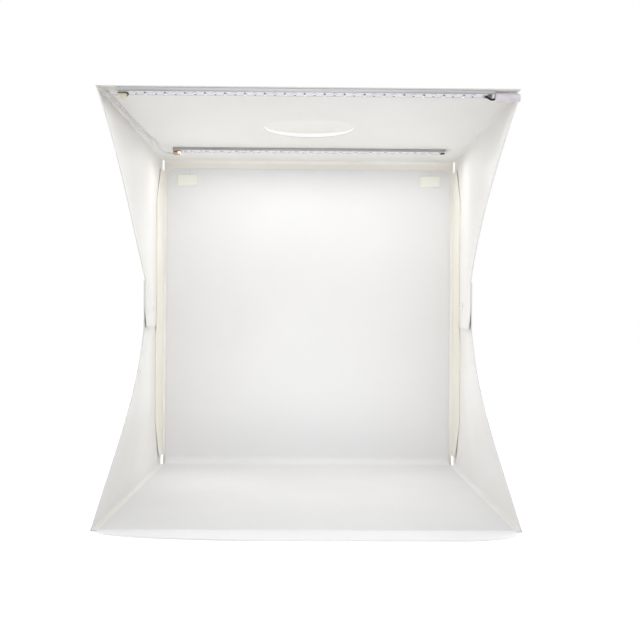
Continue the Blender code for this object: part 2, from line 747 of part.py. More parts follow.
def make_socket():
    # A round moulded barrel that narrows to its mouth, which points to the right
    end = SOCKET_BARREL + SOCKET_TAPER
    floor = end - SOCKET_BORE_DEPTH
    shell = [
        (0, floor),
        (SOCKET_BORE_RADIUS, floor),
        (SOCKET_BORE_RADIUS, end),
        (SOCKET_END_RADIUS - SOCKET_EDGE, end),
        (SOCKET_END_RADIUS, end - SOCKET_EDGE),
        (SOCKET_RADIUS, SOCKET_BARREL),
        (SOCKET_RADIUS, SOCKET_EDGE),
        (SOCKET_BACK_RADIUS, 0),
        (0, 0),
    ]
    at = (SOCKET_START, FRONT_BAR_Y, SOCKET_Z)
    right = Vector((1, 0, 0))
    turned("socket_shell", shell, "shell", at, right, SNAP_STEPS)
    outer = SOCKET_BORE_RADIUS - GAP
    base = floor + GAP
    sleeve = [
        (outer - SLEEVE_WALL, base + SLEEVE_LENGTH),
        (outer, base + SLEEVE_LENGTH),
        (outer, base),
        (outer - SLEEVE_WALL, base),
        (outer - SLEEVE_WALL, base + SLEEVE_LENGTH),
    ]
    turned("socket_sleeve", sleeve, "nickel", at, right, SNAP_STEPS)
    pin = [
        (0, base + PIN_LENGTH),
        (PIN_RADIUS * 0.5, base + PIN_LENGTH),
        (PIN_RADIUS, base + PIN_LENGTH - PIN_RADIUS),
        (PIN_RADIUS, base),
        (0, base),
    ]
    turned("socket_pin", pin, "nickel", at, right, SNAP_STEPS)
    solder_x = SOCKET_START - GAP - LEAD_LENGTH
    for offset, tag in ((-LEAD_APART / 2, "front"), (LEAD_APART / 2, "rear")):
        y = FRONT_BAR_Y + offset
        route = [
            (solder_x, y, BOARD_BASE - GAP - LEAD_RADIUS),
            (solder_x + LEAD_LENGTH / 3, y, BOARD_BASE - GAP - 2 * LEAD_RADIUS),
            (solder_x + LEAD_LENGTH * 2 / 3, y, BOARD_BASE - GAP - 2 * LEAD_RADIUS),
            (solder_x + LEAD_LENGTH, y, BOARD_BASE - GAP - 2 * LEAD_RADIUS),
        ]
        tube("socket_lead_" + tag, smooth_route(route, CORNER_STEPS), LEAD_RADIUS, "black")


def carry(axis_name, place, children, parent=None):
    # An empty on a crease carries the pieces that swing about it
    axis = bpy.data.objects.new(axis_name, None)
    axis.location = place
    bpy.data.collections["light_box"].objects.link(axis)
    bpy.context.view_layer.update()
    for child in children:
        child.parent = axis
        child.matrix_parent_inverse = axis.matrix_world.inverted()
    if parent:
        axis.parent = parent
        axis.matrix_parent_inverse = parent.matrix_world.inverted()
    bpy.context.view_layer.update()
    return axis


def named(*words):
    # The pieces whose names start with one of these words
    kept = bpy.data.collections["light_box"].objects
    return [obj for obj in kept if obj.type != "EMPTY" and obj.name.startswith(words)]


def carry_all():
    back_words = ("back_panel", "backdrop_wall", "backdrop_patch", "backdrop_stud")
    back = carry("back_crease", (0, REAR, 0), named(*back_words))
    top_words = ("top_panel", "front_bar", "rear_bar", "link_cable", "socket")
    top = carry("top_crease", (0, BACK_FACE, UNDER_TOP), named(*top_words), back)
    carry("window_crease", (0, COVER_HINGE_Y, HEIGHT), named("window_cover"), top)
    carry("lip_crease", (0, FRONT, SHEET), named("front_lip"))
    for side, tag in ((-1, "left"), (1, "right")):
        upper = named("upper_flap_" + tag, "snap_cap_" + tag, "snap_socket_" + tag)
        carry("upper_crease_" + tag, (side * HALF, 0, HEIGHT), upper, top)
        lower = named("lower_flap_" + tag, "snap_stud_" + tag, "snap_rivet_" + tag)
        carry("lower_crease_" + tag, (side * HALF, 0, 0), lower)
        flange_at = (side * FLANGE_INNER, FLANGE_AXIS_Y, 0)
        carry("flange_crease_" + tag, flange_at, named("back_flange_" + tag), back)


def main():
    for obj in list(bpy.data.objects):
        bpy.data.objects.remove(obj, do_unlink=True)
    group("light_box")
    group("cutters", hidden=True)
    make_panels()
    make_window_cover()
    make_lip()
    make_flanges()
    make_flaps()
    make_backdrop()
    make_backdrop_studs()
    make_bars()
    make_cable()
    make_socket()
    carry_all()


main()
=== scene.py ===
import json
import math

import bpy
from mathutils import Matrix, Vector

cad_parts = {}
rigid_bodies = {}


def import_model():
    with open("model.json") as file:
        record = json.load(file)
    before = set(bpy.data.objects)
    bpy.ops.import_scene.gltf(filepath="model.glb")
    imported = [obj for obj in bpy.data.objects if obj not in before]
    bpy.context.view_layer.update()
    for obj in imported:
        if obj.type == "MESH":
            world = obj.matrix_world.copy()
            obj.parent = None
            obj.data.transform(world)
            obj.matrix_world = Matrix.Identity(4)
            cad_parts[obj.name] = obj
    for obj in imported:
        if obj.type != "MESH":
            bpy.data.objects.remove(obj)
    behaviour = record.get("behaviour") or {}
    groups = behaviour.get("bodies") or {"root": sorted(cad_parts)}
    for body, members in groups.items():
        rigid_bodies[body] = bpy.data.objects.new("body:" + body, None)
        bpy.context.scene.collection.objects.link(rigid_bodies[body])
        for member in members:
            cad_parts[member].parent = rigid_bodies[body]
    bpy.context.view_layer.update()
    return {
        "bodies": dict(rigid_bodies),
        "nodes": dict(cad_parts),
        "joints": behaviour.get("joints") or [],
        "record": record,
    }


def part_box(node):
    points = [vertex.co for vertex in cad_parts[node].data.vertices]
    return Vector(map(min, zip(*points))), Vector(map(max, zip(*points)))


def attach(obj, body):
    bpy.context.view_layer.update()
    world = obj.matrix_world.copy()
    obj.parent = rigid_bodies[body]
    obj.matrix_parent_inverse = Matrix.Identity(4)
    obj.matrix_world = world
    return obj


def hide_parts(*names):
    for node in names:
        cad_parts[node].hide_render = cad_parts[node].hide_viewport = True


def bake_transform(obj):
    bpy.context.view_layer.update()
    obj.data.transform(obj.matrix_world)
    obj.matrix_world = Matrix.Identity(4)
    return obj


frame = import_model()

nodeObjects = frame["nodes"]
print("frame loaded:", len(nodeObjects), "solids")

# Photograph's own view: straight into the opening, a little below its middle
cameraView = {
    "place": (0.0, -1.047, 0.193),
    "lens": 51.53,
    "sensor": 36.0,
    "upDegrees": 0.19,
    "rightDegrees": 0.74,
    "rollDegrees": 0.35,
    "clipStart": 0.01,
}


def makeCamera(values):
    bpy.ops.object.camera_add(location=values["place"])
    camera = bpy.context.object
    camera.name = "photoCamera"
    camera.data.lens = values["lens"]
    camera.data.sensor_width = values["sensor"]
    camera.data.clip_start = values["clipStart"]
    turn = Matrix.Rotation(math.radians(-values["rightDegrees"]), 3, "Z")
    tilt = Matrix.Rotation(math.radians(90 + values["upDegrees"]), 3, "X")
    roll = Matrix.Rotation(math.radians(values["rollDegrees"]), 3, "Z")
    camera.rotation_euler = (turn @ tilt @ roll).to_euler()
    bpy.context.scene.camera = camera


makeCamera(cameraView)
print("camera placed")


# Colour helper: screen values from 0 to 255 become linear light
def colour(red, green, blue):
    made = []
    for value in (red, green, blue):
        share = value / 255
        made.append(((share + 0.055) / 1.055) ** 2.4 if share > 0.04045 else share / 12.92)
    return (*made, 1.0)


def selectOnly(*pieces):
    bpy.ops.object.select_all(action="DESELECT")
    for piece in pieces:
        piece.select_set(True)
    bpy.context.view_layer.objects.active = pieces[0]


def startEdit(action="SELECT"):
    bpy.ops.object.mode_set(mode="EDIT")
    bpy.ops.mesh.select_all(action=action)


def endEdit():
    bpy.ops.object.mode_set(mode="OBJECT")


def pick(piece, test):
    # Chooses the faces that pass a test, and stays in edit mode
    startEdit("DESELECT")
    bpy.ops.mesh.select_mode(type="FACE")
    endEdit()
    for face in piece.data.polygons:
        face.select = test(face)
    bpy.ops.object.mode_set(mode="EDIT")


def endPick():
    bpy.ops.mesh.select_mode(type="VERT")
    endEdit()


def extrude(x, y, z):
    bpy.ops.mesh.extrude_region_move(TRANSFORM_OT_translate={"value": (x, y, z)})


def applyModifiers(piece):
    selectOnly(piece)
    for modifier in list(piece.modifiers):
        bpy.ops.object.modifier_apply(modifier=modifier.name)


def settle(piece, name):
    # Place, turn and scale go into the mesh
    selectOnly(piece)
    bpy.ops.object.transform_apply(location=True, rotation=True, scale=True)
    piece.name = piece.data.name = name
    return piece


mergeWithin = 0.000002


def recalculate(piece):
    selectOnly(piece)
    startEdit()
    bpy.ops.mesh.remove_doubles(threshold=mergeWithin)
    bpy.ops.mesh.normals_make_consistent(inside=False)
    endEdit()


def dress(piece, *names):
    piece.data.materials.clear()
    for name in names:
        piece.data.materials.append(finishes[name])


def shadeDress(piece, finish, degrees):
    selectOnly(piece)
    bpy.ops.object.shade_smooth_by_angle(angle=math.radians(degrees))
    if finish:
        dress(piece, finish)


def finishPiece(piece, finish, body, slotName, nodes=(), degrees=35):
    # A piece without a finish here has its finishes already
    shadeDress(piece, finish, degrees)
    if nodes:
        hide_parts(*nodes)
    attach(piece, body)


# Shader helpers
def setInputs(node, values):
    for socket, value in values.items():
        node.inputs[socket].default_value = value
    return node


def newNode(tree, kind, values={}):
    return setInputs(tree.nodes.new("ShaderNode" + kind), values)


def twoTone(tree, tones={}):
    # Mix of two colours: its share is input 0, its colours are inputs 6 and 7, its result is output 2
    mix = newNode(tree, "Mix")
    mix.data_type = "RGBA"
    return setInputs(mix, {socket: colour(*tone) for socket, tone in tones.items()})


def wire(tree, *runs):
    # Each run goes from a node's output to a node's input
    for source, output, target, socket in runs:
        tree.links.new(source.outputs[output], target.inputs[socket])


def rescale(tree, low, high):
    # What lies between two values is spread from 0 to 1
    return newNode(tree, "MapRange", {"From Min": low, "From Max": high})


# Shared node groups
groupLook = {
    "driftDetail": 3, "driftSpread": (0.36, 0.64),
    "grainDetail": 2, "glossScale": 11, "glossSpread": (0.3, 0.7),
    "lineStretch": (0.012, 1.0, 1.0), "lineDetail": 4, "lineSpread": (0.3, 0.7),
}


def groupWith(name, inputs, outputs):
    group = bpy.data.node_groups.new(name, "ShaderNodeTree")
    for direction, sockets in (("INPUT", inputs), ("OUTPUT", outputs)):
        for label, kind in sockets.items():
            group.interface.new_socket(label, in_out=direction, socket_type="NodeSocket" + kind)
    return group, group.nodes.new("NodeGroupInput"), group.nodes.new("NodeGroupOutput")


def makeToneDrift():
    # Slow change between two colours
    inputs = {"Vector": "Vector", "Scale": "Float", "Low": "Color", "High": "Color"}
    group, start, end = groupWith("toneDrift", inputs, {"Colour": "Color"})
    noise = newNode(group, "TexNoise", {"Detail": groupLook["driftDetail"]})
    spread = rescale(group, *groupLook["driftSpread"])
    mix = twoTone(group)
    wire(
        group, (start, "Vector", noise, "Vector"), (start, "Scale", noise, "Scale"),
        (noise, "Fac", spread, "Value"), (spread, "Result", mix, 0),
        (start, "Low", mix, 6), (start, "High", mix, 7), (mix, 2, end, "Colour"),
    )
    return group


def makeFineGrain():
    # Small even texture of moulded or rolled plastic, with its gloss going up and down
    inputs = {"Vector": "Vector", "Scale": "Float", "Smooth": "Float", "Rough": "Float"}
    group, start, end = groupWith("fineGrain", inputs, {"Height": "Float", "Roughness": "Float"})
    detail = groupLook["grainDetail"]
    noise = newNode(group, "TexNoise", {"Detail": detail})
    large = newNode(group, "TexNoise", {"Detail": detail, "Scale": groupLook["glossScale"]})
    smooth = rescale(group, *groupLook["glossSpread"])
    wire(
        group, (start, "Vector", noise, "Vector"), (start, "Scale", noise, "Scale"),
        (start, "Vector", large, "Vector"), (large, "Fac", smooth, "Value"),
        (start, "Smooth", smooth, "To Min"), (start, "Rough", smooth, "To Max"),
        (noise, "Fac", end, "Height"), (smooth, "Result", end, "Roughness"),
    )
    return group


def makeDrawnLines():
    # Fine lines along X, as on extruded metal
    inputs = {"Vector": "Vector", "Across": "Float"}
    group, start, end = groupWith("drawnLines", inputs, {"Height": "Float", "Tone": "Float"})
    stretch = newNode(group, "VectorMath", {1: groupLook["lineStretch"]})
    stretch.operation = "MULTIPLY"
    noise = newNode(group, "TexNoise", {"Detail": groupLook["lineDetail"]})
    tone = rescale(group, *groupLook["lineSpread"])
    wire(
        group, (start, "Vector", stretch, 0), (stretch, "Vector", noise, "Vector"),
        (start, "Across", noise, "Scale"), (noise, "Fac", tone, "Value"),
        (tone, "Result", end, "Tone"), (noise, "Fac", end, "Height"),
    )
    return group


toneDrift = makeToneDrift()
fineGrain = makeFineGrain()
drawnLines = makeDrawnLines()


def placeGroup(tree, group, place, **values):
    # A shared group laid by the object's own coordinates
    node = newNode(tree, "Group")
    node.node_tree = group
    setInputs(node, values)
    wire(tree, (place, "Object", node, "Vector"))
    return node


def startFinish(name):
    material = bpy.data.materials.new(name)
    material.use_nodes = True
    tree = material.node_tree
    return material, tree, tree.nodes["Principled BSDF"], newNode(tree, "TexCoord")


def addBump(tree, source, output, distance, strength):
    bump = newNode(tree, "Bump", {"Distance": distance, "Strength": strength})
    wire(tree, (source, output, bump, "Height"), (bump, "Normal", tree.nodes["Principled BSDF"], "Normal"))


def plainFinish(name, values):
    # Tone drift, grain and changing gloss for one moulded, rolled or coated surface
    material, tree, shader, place = startFinish(name)
    low, high = (colour(*values[tone]) for tone in ("low", "high"))
    drift = placeGroup(tree, toneDrift, place, Scale=values["drift"], Low=low, High=high)
    smooth, rough = values["gloss"]
    grain = placeGroup(tree, fineGrain, place, Scale=values["grain"], Smooth=smooth, Rough=rough)
    wire(tree, (drift, "Colour", shader, "Base Color"), (grain, "Roughness", shader, "Roughness"))
    addBump(tree, grain, "Height", values["relief"], values.get("bump", 0.5))
    setInputs(shader, {
        "Metallic": values.get("metal", 0.0), "Coat Weight": values.get("coat", 0.0),
        "Specular IOR Level": values.get("specular", 0.5),
    })
    return material


def look(low, high, drift, grain, gloss, relief, **more):
    return {
        "low": low, "high": high, "drift": drift, "grain": grain, "gloss": gloss, "relief": relief, **more,
    }


sheetLike = {"grain": 1100.0, "gloss": (0.42, 0.56), "relief": 0.00006, "bump": 0.35, "specular": 0.35}
metal = {"metal": 1.0}
plainLooks = {
    "whiteSheet": look((240, 239, 236), (245, 244, 242), 5.0, **sheetLike),
    # The lip's finish: a brighter, cooler copy of the sheet, painted light for the lip lying out of the
    # box's shade in the front light
    "lipSheetPaintedBright": look((248, 248, 251), (252, 252, 254), 6.0, **sheetLike),
    "coverSheet": look((243, 242, 238), (248, 247, 244), 12.0, **sheetLike),
    # The back panel's finish: a warmer copy of the sheet, painted light for the warm light seen through the
    # translucent back panel
    "backSheetPaintedWarm": look((244, 240, 232), (249, 246, 240), 6.0, **sheetLike),
    "foldSheet": look(
        (244, 242, 236), (249, 248, 244), 18.0, 1400.0, (0.38, 0.50), 0.00005, bump=0.35, specular=0.35
    ),
    "backdropSheet": look(
        (229, 229, 230), (234, 234, 235), 4.0, 1700.0, (0.60, 0.72), 0.00005, bump=0.3, specular=0.25
    ),
    "studPlastic": look((232, 231, 226), (241, 240, 235), 60.0, 900.0, (0.22, 0.32), 0.00002, coat=0.3),
    "foamTape": look((226, 226, 224), (238, 238, 236), 80.0, 2600.0, (0.75, 0.85), 0.0001),
    "connectorCream": look((232, 225, 202), (242, 237, 218), 220.0, 1600.0, (0.36, 0.48), 0.00004),
    "connectorAmber": look((196, 164, 138), (214, 186, 162), 240.0, 1600.0, (0.50, 0.62), 0.00004),
    "darkPlastic": look((38, 37, 34), (54, 52, 47), 220.0, 1700.0, (0.42, 0.58), 0.00004),
    "olivePlastic": look((96, 94, 76), (128, 125, 104), 260.0, 1700.0, (0.34, 0.48), 0.00004),
    "brassContact": look((176, 150, 88), (206, 182, 118), 320.0, 2500.0, (0.26, 0.40), 0.00002, **metal),
    "solderedTin": look((188, 189, 192), (214, 215, 218), 420.0, 2500.0, (0.22, 0.38), 0.00003, **metal),
    "nickelPlate": look((222, 222, 225), (238, 238, 240), 160.0, 2200.0, (0.16, 0.30), 0.00001, **metal),
    "socketShellPlastic": look((232, 227, 235), (240, 236, 243), 90.0, 1300.0, (0.30, 0.40), 0.00003),
    "leadJacket": look((17, 17, 18), (28, 28, 30), 500.0, 2400.0, (0.34, 0.48), 0.00003),
    "packageHousing": look((244, 245, 248), (250, 250, 252), 300.0, 2400.0, (0.30, 0.42), 0.00002),
    "cableJacket": look((208, 205, 211), (230, 228, 233), 120.0, 1500.0, (0.18, 0.28), 0.00002, coat=0.6),
}
finishes = {name: plainFinish(name, values) for name, values in plainLooks.items()}

barMetalLook = {
    "low": (164, 165, 166), "high": (184, 185, 186), "across": 1900.0,
    "gloss": 0.42, "relief": 0.00004, "bump": 0.6,
}


def makeBarMetal(values):
    material, tree, shader, place = startFinish("drawnAluminium")
    lines = placeGroup(tree, drawnLines, place, Across=values["across"])
    mix = twoTone(tree, {6: values["low"], 7: values["high"]})
    wire(tree, (lines, "Tone", mix, 0), (mix, 2, shader, "Base Color"))
    addBump(tree, lines, "Height", values["relief"], values["bump"])
    setInputs(shader, {"Metallic": 1.0, "Roughness": values["gloss"]})
    return material


def tintedFinish(name, values):
    material = plainFinish(name, values)
    tree = material.node_tree
    return material, tree, newNode(tree, "TexCoord")


def tintOver(tree, mask, tint):
    # A second colour over a finish's tone drift, where the mask is
    drift = next(node for node in tree.nodes if node.type == "GROUP" and node.node_tree == toneDrift)
    mix = twoTone(tree, {7: tint})
    shader = tree.nodes["Principled BSDF"]
    wire(tree, (mask, "Result", mix, 0), (drift, "Colour", mix, 6), (mix, 2, shader, "Base Color"))


boardLook = {
    **look((238, 239, 248), (246, 247, 253), 40.0, 1500.0, (0.28, 0.40), 0.00004),
    "pitch": 0.0094, "width": 0.07, "trace": (206, 209, 224), "waveRadians": 20,
}


def makeBoardFinish(values):
    # Solder mask with faint copper tracks under it, one at each package
    material, tree, place = tintedFinish("boardMask", values)
    tracks = newNode(tree, "TexWave", {"Scale": math.tau / values["pitch"] / values["waveRadians"]})
    sharpen = rescale(tree, 1 - values["width"], 1.0)
    wire(tree, (place, "Object", tracks, "Vector"), (tracks, "Fac", sharpen, "Value"))
    tintOver(tree, sharpen, values["trace"])
    return material


# Flange finish: its cream tone and the browner band at its cut front edge are painted light and painted
# shade
flangePaintedLightLook = {
    **look((245, 242, 230), (250, 248, 240), 9.0, **sheetLike),
    "tint": (240, 233, 208), "tip": 0.1490, "fade": 0.0016,
}


def makeFlangePaintedLight(values):
    # Sheet with a painted cream tone for the light through its doubled layers, and a browner painted shade
    # along its cut front edge
    material, tree, place = tintedFinish("flangeSheetPaintedLight", values)
    parts = newNode(tree, "SeparateXYZ")
    edge = rescale(tree, values["tip"] + values["fade"], values["tip"])
    wire(tree, (place, "Object", parts, "Vector"), (parts, "Y", edge, "Value"))
    tintOver(tree, edge, values["tint"])
    return material


pileLook = {
    "low": (243, 243, 234), "high": (251, 251, 245), "loops": 1500.0,
    "relief": 0.0003, "bump": 0.8, "gloss": 0.9, "sheen": 0.3,
}


def makePileFinish(values):
    # Short loops of a hook and loop patch
    material, tree, shader, place = startFinish("patchPile")
    cells = newNode(tree, "TexVoronoi", {"Scale": values["loops"]})
    mix = twoTone(tree, {6: values["high"], 7: values["low"]})
    wire(
        tree, (place, "Object", cells, "Vector"), (cells, "Distance", mix, 0),
        (mix, 2, shader, "Base Color"),
    )
    addBump(tree, cells, "Distance", values["relief"], values["bump"])
    setInputs(shader, {"Roughness": values["gloss"], "Sheen Weight": values["sheen"]})
    return material


lensLook = {"low": (250, 251, 255), "high": (255, 255, 255), "drift": 900.0, "glow": 1.8, "gloss": 0.25}


def makeLensFinish(values):
    # Lit phosphor under a clear lens
    material, tree, shader, place = startFinish("packageLens")
    low, high = (colour(*values[tone]) for tone in ("low", "high"))
    drift = placeGroup(tree, toneDrift, place, Scale=values["drift"], Low=low, High=high)
    wire(tree, (drift, "Colour", shader, "Base Color"), (drift, "Colour", shader, "Emission Color"))
    setInputs(shader, {"Emission Strength": values["glow"], "Roughness": values["gloss"]})
    return material


finishes["drawnAluminium"] = makeBarMetal(barMetalLook)
finishes["boardMask"] = makeBoardFinish(boardLook)
finishes["flangeSheetPaintedLight"] = makeFlangePaintedLight(flangePaintedLightLook)
finishes["patchPile"] = makePileFinish(pileLook)
finishes["packageLens"] = makeLensFinish(lensLook)
print("finishes made")

# Link cable from the front bar along the top left fold to the rear bar, by the same points as its solid
linkCable = {
    "radius": 0.0008,
    "points": 40,
    "fineSteps": 60,
    "route": [
        (-0.1787, -0.1822, 0.4061), (-0.1824, -0.1824, 0.4061), (-0.1870, -0.1822, 0.4070),
        (-0.1904, -0.1800, 0.4094), (-0.1920, -0.1745, 0.4113), (-0.1924, -0.1600, 0.4118),
        (-0.1920, -0.1100, 0.4117), (-0.1920, -0.0500, 0.4117), (-0.1908, 0.0150, 0.4115),
        (-0.1878, 0.0440, 0.4106), (-0.1862, 0.0640, 0.4098), (-0.1850, 0.0860, 0.4084),
        (-0.1805, 0.1050, 0.4065), (-0.1722, 0.1110, 0.4061),
    ],
}


def smoothRoute(route, count):
    # Even steps along a smooth line through the route's points
    stops = [Vector(point) for point in route]
    stops = [stops[0] * 2 - stops[1], *stops, stops[-1] * 2 - stops[-2]]
    fine = []
    for before, start, end, after in zip(stops, stops[1:], stops[2:], stops[3:]):
        for n in range(linkCable["fineSteps"]):
            t = n / linkCable["fineSteps"]
            bend = (before * 2 - start * 5 + end * 4 - after) * t * t
            twist = (start * 3 - before - end * 3 + after) * t * t * t
            fine.append((start * 2 + (end - before) * t + bend + twist) / 2)
    fine.append(stops[-2])
    lengths = [0.0]
    for one, two in zip(fine, fine[1:]):
        lengths.append(lengths[-1] + (two - one).length)
    points = []
    spot = 0
    for n in range(count):
        reach = lengths[-1] * n / (count - 1)
        while spot < len(fine) - 2 and lengths[spot + 1] < reach:
            spot += 1
        share = (reach - lengths[spot]) / (lengths[spot + 1] - lengths[spot])
        points.append(fine[spot].lerp(fine[spot + 1], share))
    return points, lengths[-1]


cordMesh = {"around": 4, "along": 6, "wirePoints": 16}


def cordCurve(name, points, radius, finish):
    curve = bpy.data.curves.new(name, "CURVE")
    curve.dimensions = "3D"
    curve.bevel_depth = radius
    curve.bevel_resolution = cordMesh["around"]
    curve.resolution_u = cordMesh["along"]
    curve.use_fill_caps = True
    spline = curve.splines.new("BEZIER")
    spline.bezier_points.add(len(points) - 1)
    for point, place in zip(spline.bezier_points, points):
        point.co = place
        point.handle_left_type = point.handle_right_type = "AUTO"
    piece = bpy.data.objects.new(name, curve)
    bpy.context.scene.collection.objects.link(piece)
    curve.materials.append(finishes[finish])
    return piece


cablePoints, cableLength = smoothRoute(linkCable["route"], linkCable["points"])
cable = cordCurve("linkCable", cablePoints, linkCable["radius"], "cableJacket")
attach(cable, "top")
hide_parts("link_cable")
print("link cable laid, metres:", round(cableLength, 4))

sides = ((-1, "Left"), (1, "Right"))

# Side flaps: the lower ones lap outside the upper ones, and all bow inwards at the front
box = {"half": 0.200, "front": -0.200, "rear": 0.200, "top": 0.414, "topFront": -0.190, "sheet": 0.001}
flap = {
    "edgeSetback": 0.0005,
    "lowerReach": 0.2315,
    "upperReach": 0.226,
    "lapLow": 0.188,
    "lapTop": 0.2315,
    "draw": 0.048,
    "bend": 0.06,
    "squaring": 0.4,
    "flangeDepth": 0.051,
    "rearStep": 0.00106,
    "lapSpread": 0.003,
    "gapStart": 0.45,
    "gapOpen": 0.0019,
    "snapSpread": 0.00264,
    "snapShare": 0.6375,
    "swell": 0.34,
    "lowerSlopes": {-1: (1.15, 0.30), 1: (1.20, 0.26)},
    "upperSlopes": {-1: (1.45, 0.90), 1: (1.36, 0.50)},
    "columns": 48,
    "rows": 56,
    "lapRows": 0.25,
    "rim": 0.00022,
    "notched": ("upper", "Right"),
    "socketNotch": ((0.1845, -0.206, 0.4021), (0.2155, -0.174, 0.4295)),
}
upperLap = (box["top"] - flap["lapTop"]) / flap["upperReach"]
lowerLap = flap["lapLow"] / flap["lowerReach"]


def bowShare(t, startSlope, endSlope):
    square, cube = t * t, t * t * t
    start = startSlope * (cube - 2 * square + t)
    return start + endSlope * (cube - square) + 3 * square - 2 * cube


def leanShare(depthShare):
    # None beside the back flange, then growing to the front
    depth = box["rear"] - box["front"]
    past = (depthShare * depth - flap["flangeDepth"]) / (depth - flap["flangeDepth"])
    bend = flap["bend"]
    if past <= 0:
        return 0.0
    if past < 2 * bend:
        return past * past / (4 * bend) / (1 - bend)
    return (past - bend) / (1 - bend)


def lowerPoint(side, a, b):
    inset = flap["draw"] * leanShare(a) * bowShare(min(1, b / lowerLap), *flap["lowerSlopes"][side])
    y = box["rear"] + (box["front"] + flap["edgeSetback"] - box["rear"]) * a
    return Vector((side * (box["half"] - inset), y, b * flap["lowerReach"]))


def upperPoint(side, a, b):
    t = min(1, b / upperLap)
    drawn = flap["draw"] * leanShare(a) + flap["rearStep"]
    inset = drawn * bowShare(t, *flap["upperSlopes"][side])
    lap = max(0, (b - upperLap) / (1 - upperLap))
    beside = min(1, abs(a - flap["snapShare"]) / flap["swell"])
    near = math.cos(beside * math.pi / 2) ** 2
    inset += flap["snapSpread"] * near * t ** 3
    inset += flap["lapSpread"] * leanShare(a) * lap * near
    opening = max(0, (lap - flap["gapStart"]) / (1 - flap["gapStart"]))
    inset += flap["gapOpen"] * leanShare(a) * opening ** 2 * (1 - near)
    squared = min(1, b / flap["squaring"])
    rise = squared * (2 - squared)
    front = box["topFront"] + (box["front"] + flap["edgeSetback"] - box["topFront"]) * rise
    y = box["rear"] + (front - box["rear"]) * a
    return Vector((side * (box["half"] - inset), y, box["top"] - b * flap["upperReach"]))


def laidSheet(name, values, place, direction=None):
    # A grid whose points are laid on a surface, shares from 0 to 1 both ways, its faces to one side
    bpy.ops.mesh.primitive_grid_add(
        x_subdivisions=values["columns"], y_subdivisions=values["rows"], size=2
    )
    piece = bpy.context.object
    for vert in piece.data.vertices:
        vert.co = place((vert.co.x + 1) / 2, (vert.co.y + 1) / 2)
    settle(piece, name)
    total = sum((face.normal * face.area for face in piece.data.polygons), Vector())
    if direction and total.dot(Vector(direction)) < 0:
        startEdit()
        bpy.ops.mesh.flip_normals()
        endEdit()
    return piece


def thicken(piece, thickness, offset=-1.0):
    wall = piece.modifiers.new("wall", "SOLIDIFY")
    wall.thickness = thickness
    wall.offset = offset
    wall.use_even_offset = True
    applyModifiers(piece)


sharpDegrees = 50


def softenRim(piece, width, segments=2):
    rim = piece.modifiers.new("rim", "BEVEL")
    rim.width = width
    rim.segments = segments
    rim.limit_method = "ANGLE"
    rim.angle_limit = math.radians(sharpDegrees)
    applyModifiers(piece)


def plainBlock(name, low, high):
    # A block or a cutter between two corners
    size = [b - a for a, b in zip(low, high)]
    middle = [(a + b) / 2 for a, b in zip(low, high)]
    bpy.ops.mesh.primitive_cube_add(size=1, location=middle, scale=size)
    return settle(bpy.context.object, name)


def cutAway(piece, tool):
    cut = piece.modifiers.new("cut", "BOOLEAN")
    cut.operation = "DIFFERENCE"
    cut.object = tool
    applyModifiers(piece)
    bpy.data.objects.remove(tool, do_unlink=True)


def makeFlap(side, tag, surface, lapStart, level):
    before = 1 - flap["lapRows"]

    def place(a, v):
        if v <= before:
            b = v / before * lapStart
        else:
            b = lapStart + (v - before) / flap["lapRows"] * (1 - lapStart)
        return surface(side, a, b)

    piece = laidSheet(f"{level}Flap{tag}", flap, place, (side, 0, 0))
    thicken(piece, box["sheet"])
    if (level, tag) == flap["notched"]:
        cutAway(piece, plainBlock("notchCutter", *flap["socketNotch"]))
    softenRim(piece, flap["rim"])
    word = tag.lower()
    finishPiece(piece, "whiteSheet", f"{level}_{word}", "sheet", [f"{level}_flap_{word}"])


for surface, lapStart, level in ((upperPoint, upperLap, "upper"), (lowerPoint, lowerLap, "lower")):
    for side, tag in sides:
        makeFlap(side, tag, surface, lapStart, level)
print("side flaps bowed")

# Backdrop: one flexible sheet that hangs on two studs, bends and runs forward over the floor
backdrop = {
    "half": 0.1925,
    "top": 0.402,
    "wallY": 0.1982,
    "floorZ": 0.0016,
    "frontZ": 0.00135,
    "settle": 0.06,
    "front": -0.198,
    "bend": 0.010,
    "curl": 0.002,
    "curlReach": 0.05,
    "corner": 0.012,
    "stops": (0, 0.12, 0.42, 0.58, 1),
    "thickness": 0.0005,
    "rim": 0.0001,
    "columns": 72,
    "rows": 100,
    "smooth": 40,
}


def backdropLength(bend):
    straight = backdrop["top"] - backdrop["floorZ"] - bend
    forward = backdrop["wallY"] - backdrop["front"] - bend
    return straight, math.pi / 2 * bend, forward


def backdropPoint(u, v):
    x = backdrop["half"] * (2 * u - 1)
    fromLeft = x + backdrop["half"]
    bend = backdrop["bend"] + backdrop["curl"] * max(0, 1 - fromLeft / backdrop["curlReach"]) ** 2
    straight, turn, forward = backdropLength(bend)
    corner = backdrop["corner"]
    marks = (0, corner, straight, straight + turn, straight + turn + forward)
    part = min(3, sum(v >= stop for stop in backdrop["stops"][1:]))
    low, high = backdrop["stops"][part:part + 2]
    reach = marks[part] + (marks[part + 1] - marks[part]) * (v - low) / (high - low)
    if reach < corner:
        x *= 1 - (corner - math.sqrt(corner ** 2 - (corner - reach) ** 2)) / backdrop["half"]
    if reach <= straight:
        return Vector((x, backdrop["wallY"], backdrop["top"] - reach))
    if reach <= straight + turn:
        angle = (reach - straight) / bend
        y = backdrop["wallY"] - bend * (1 - math.cos(angle))
        return Vector((x, y, backdrop["floorZ"] + bend * (1 - math.sin(angle))))
    y = backdrop["wallY"] - bend - (reach - straight - turn)
    settled = max(0, 1 - (y - backdrop["front"]) / backdrop["settle"])
    return Vector((x, y, backdrop["floorZ"] + (backdrop["frontZ"] - backdrop["floorZ"]) * settled))


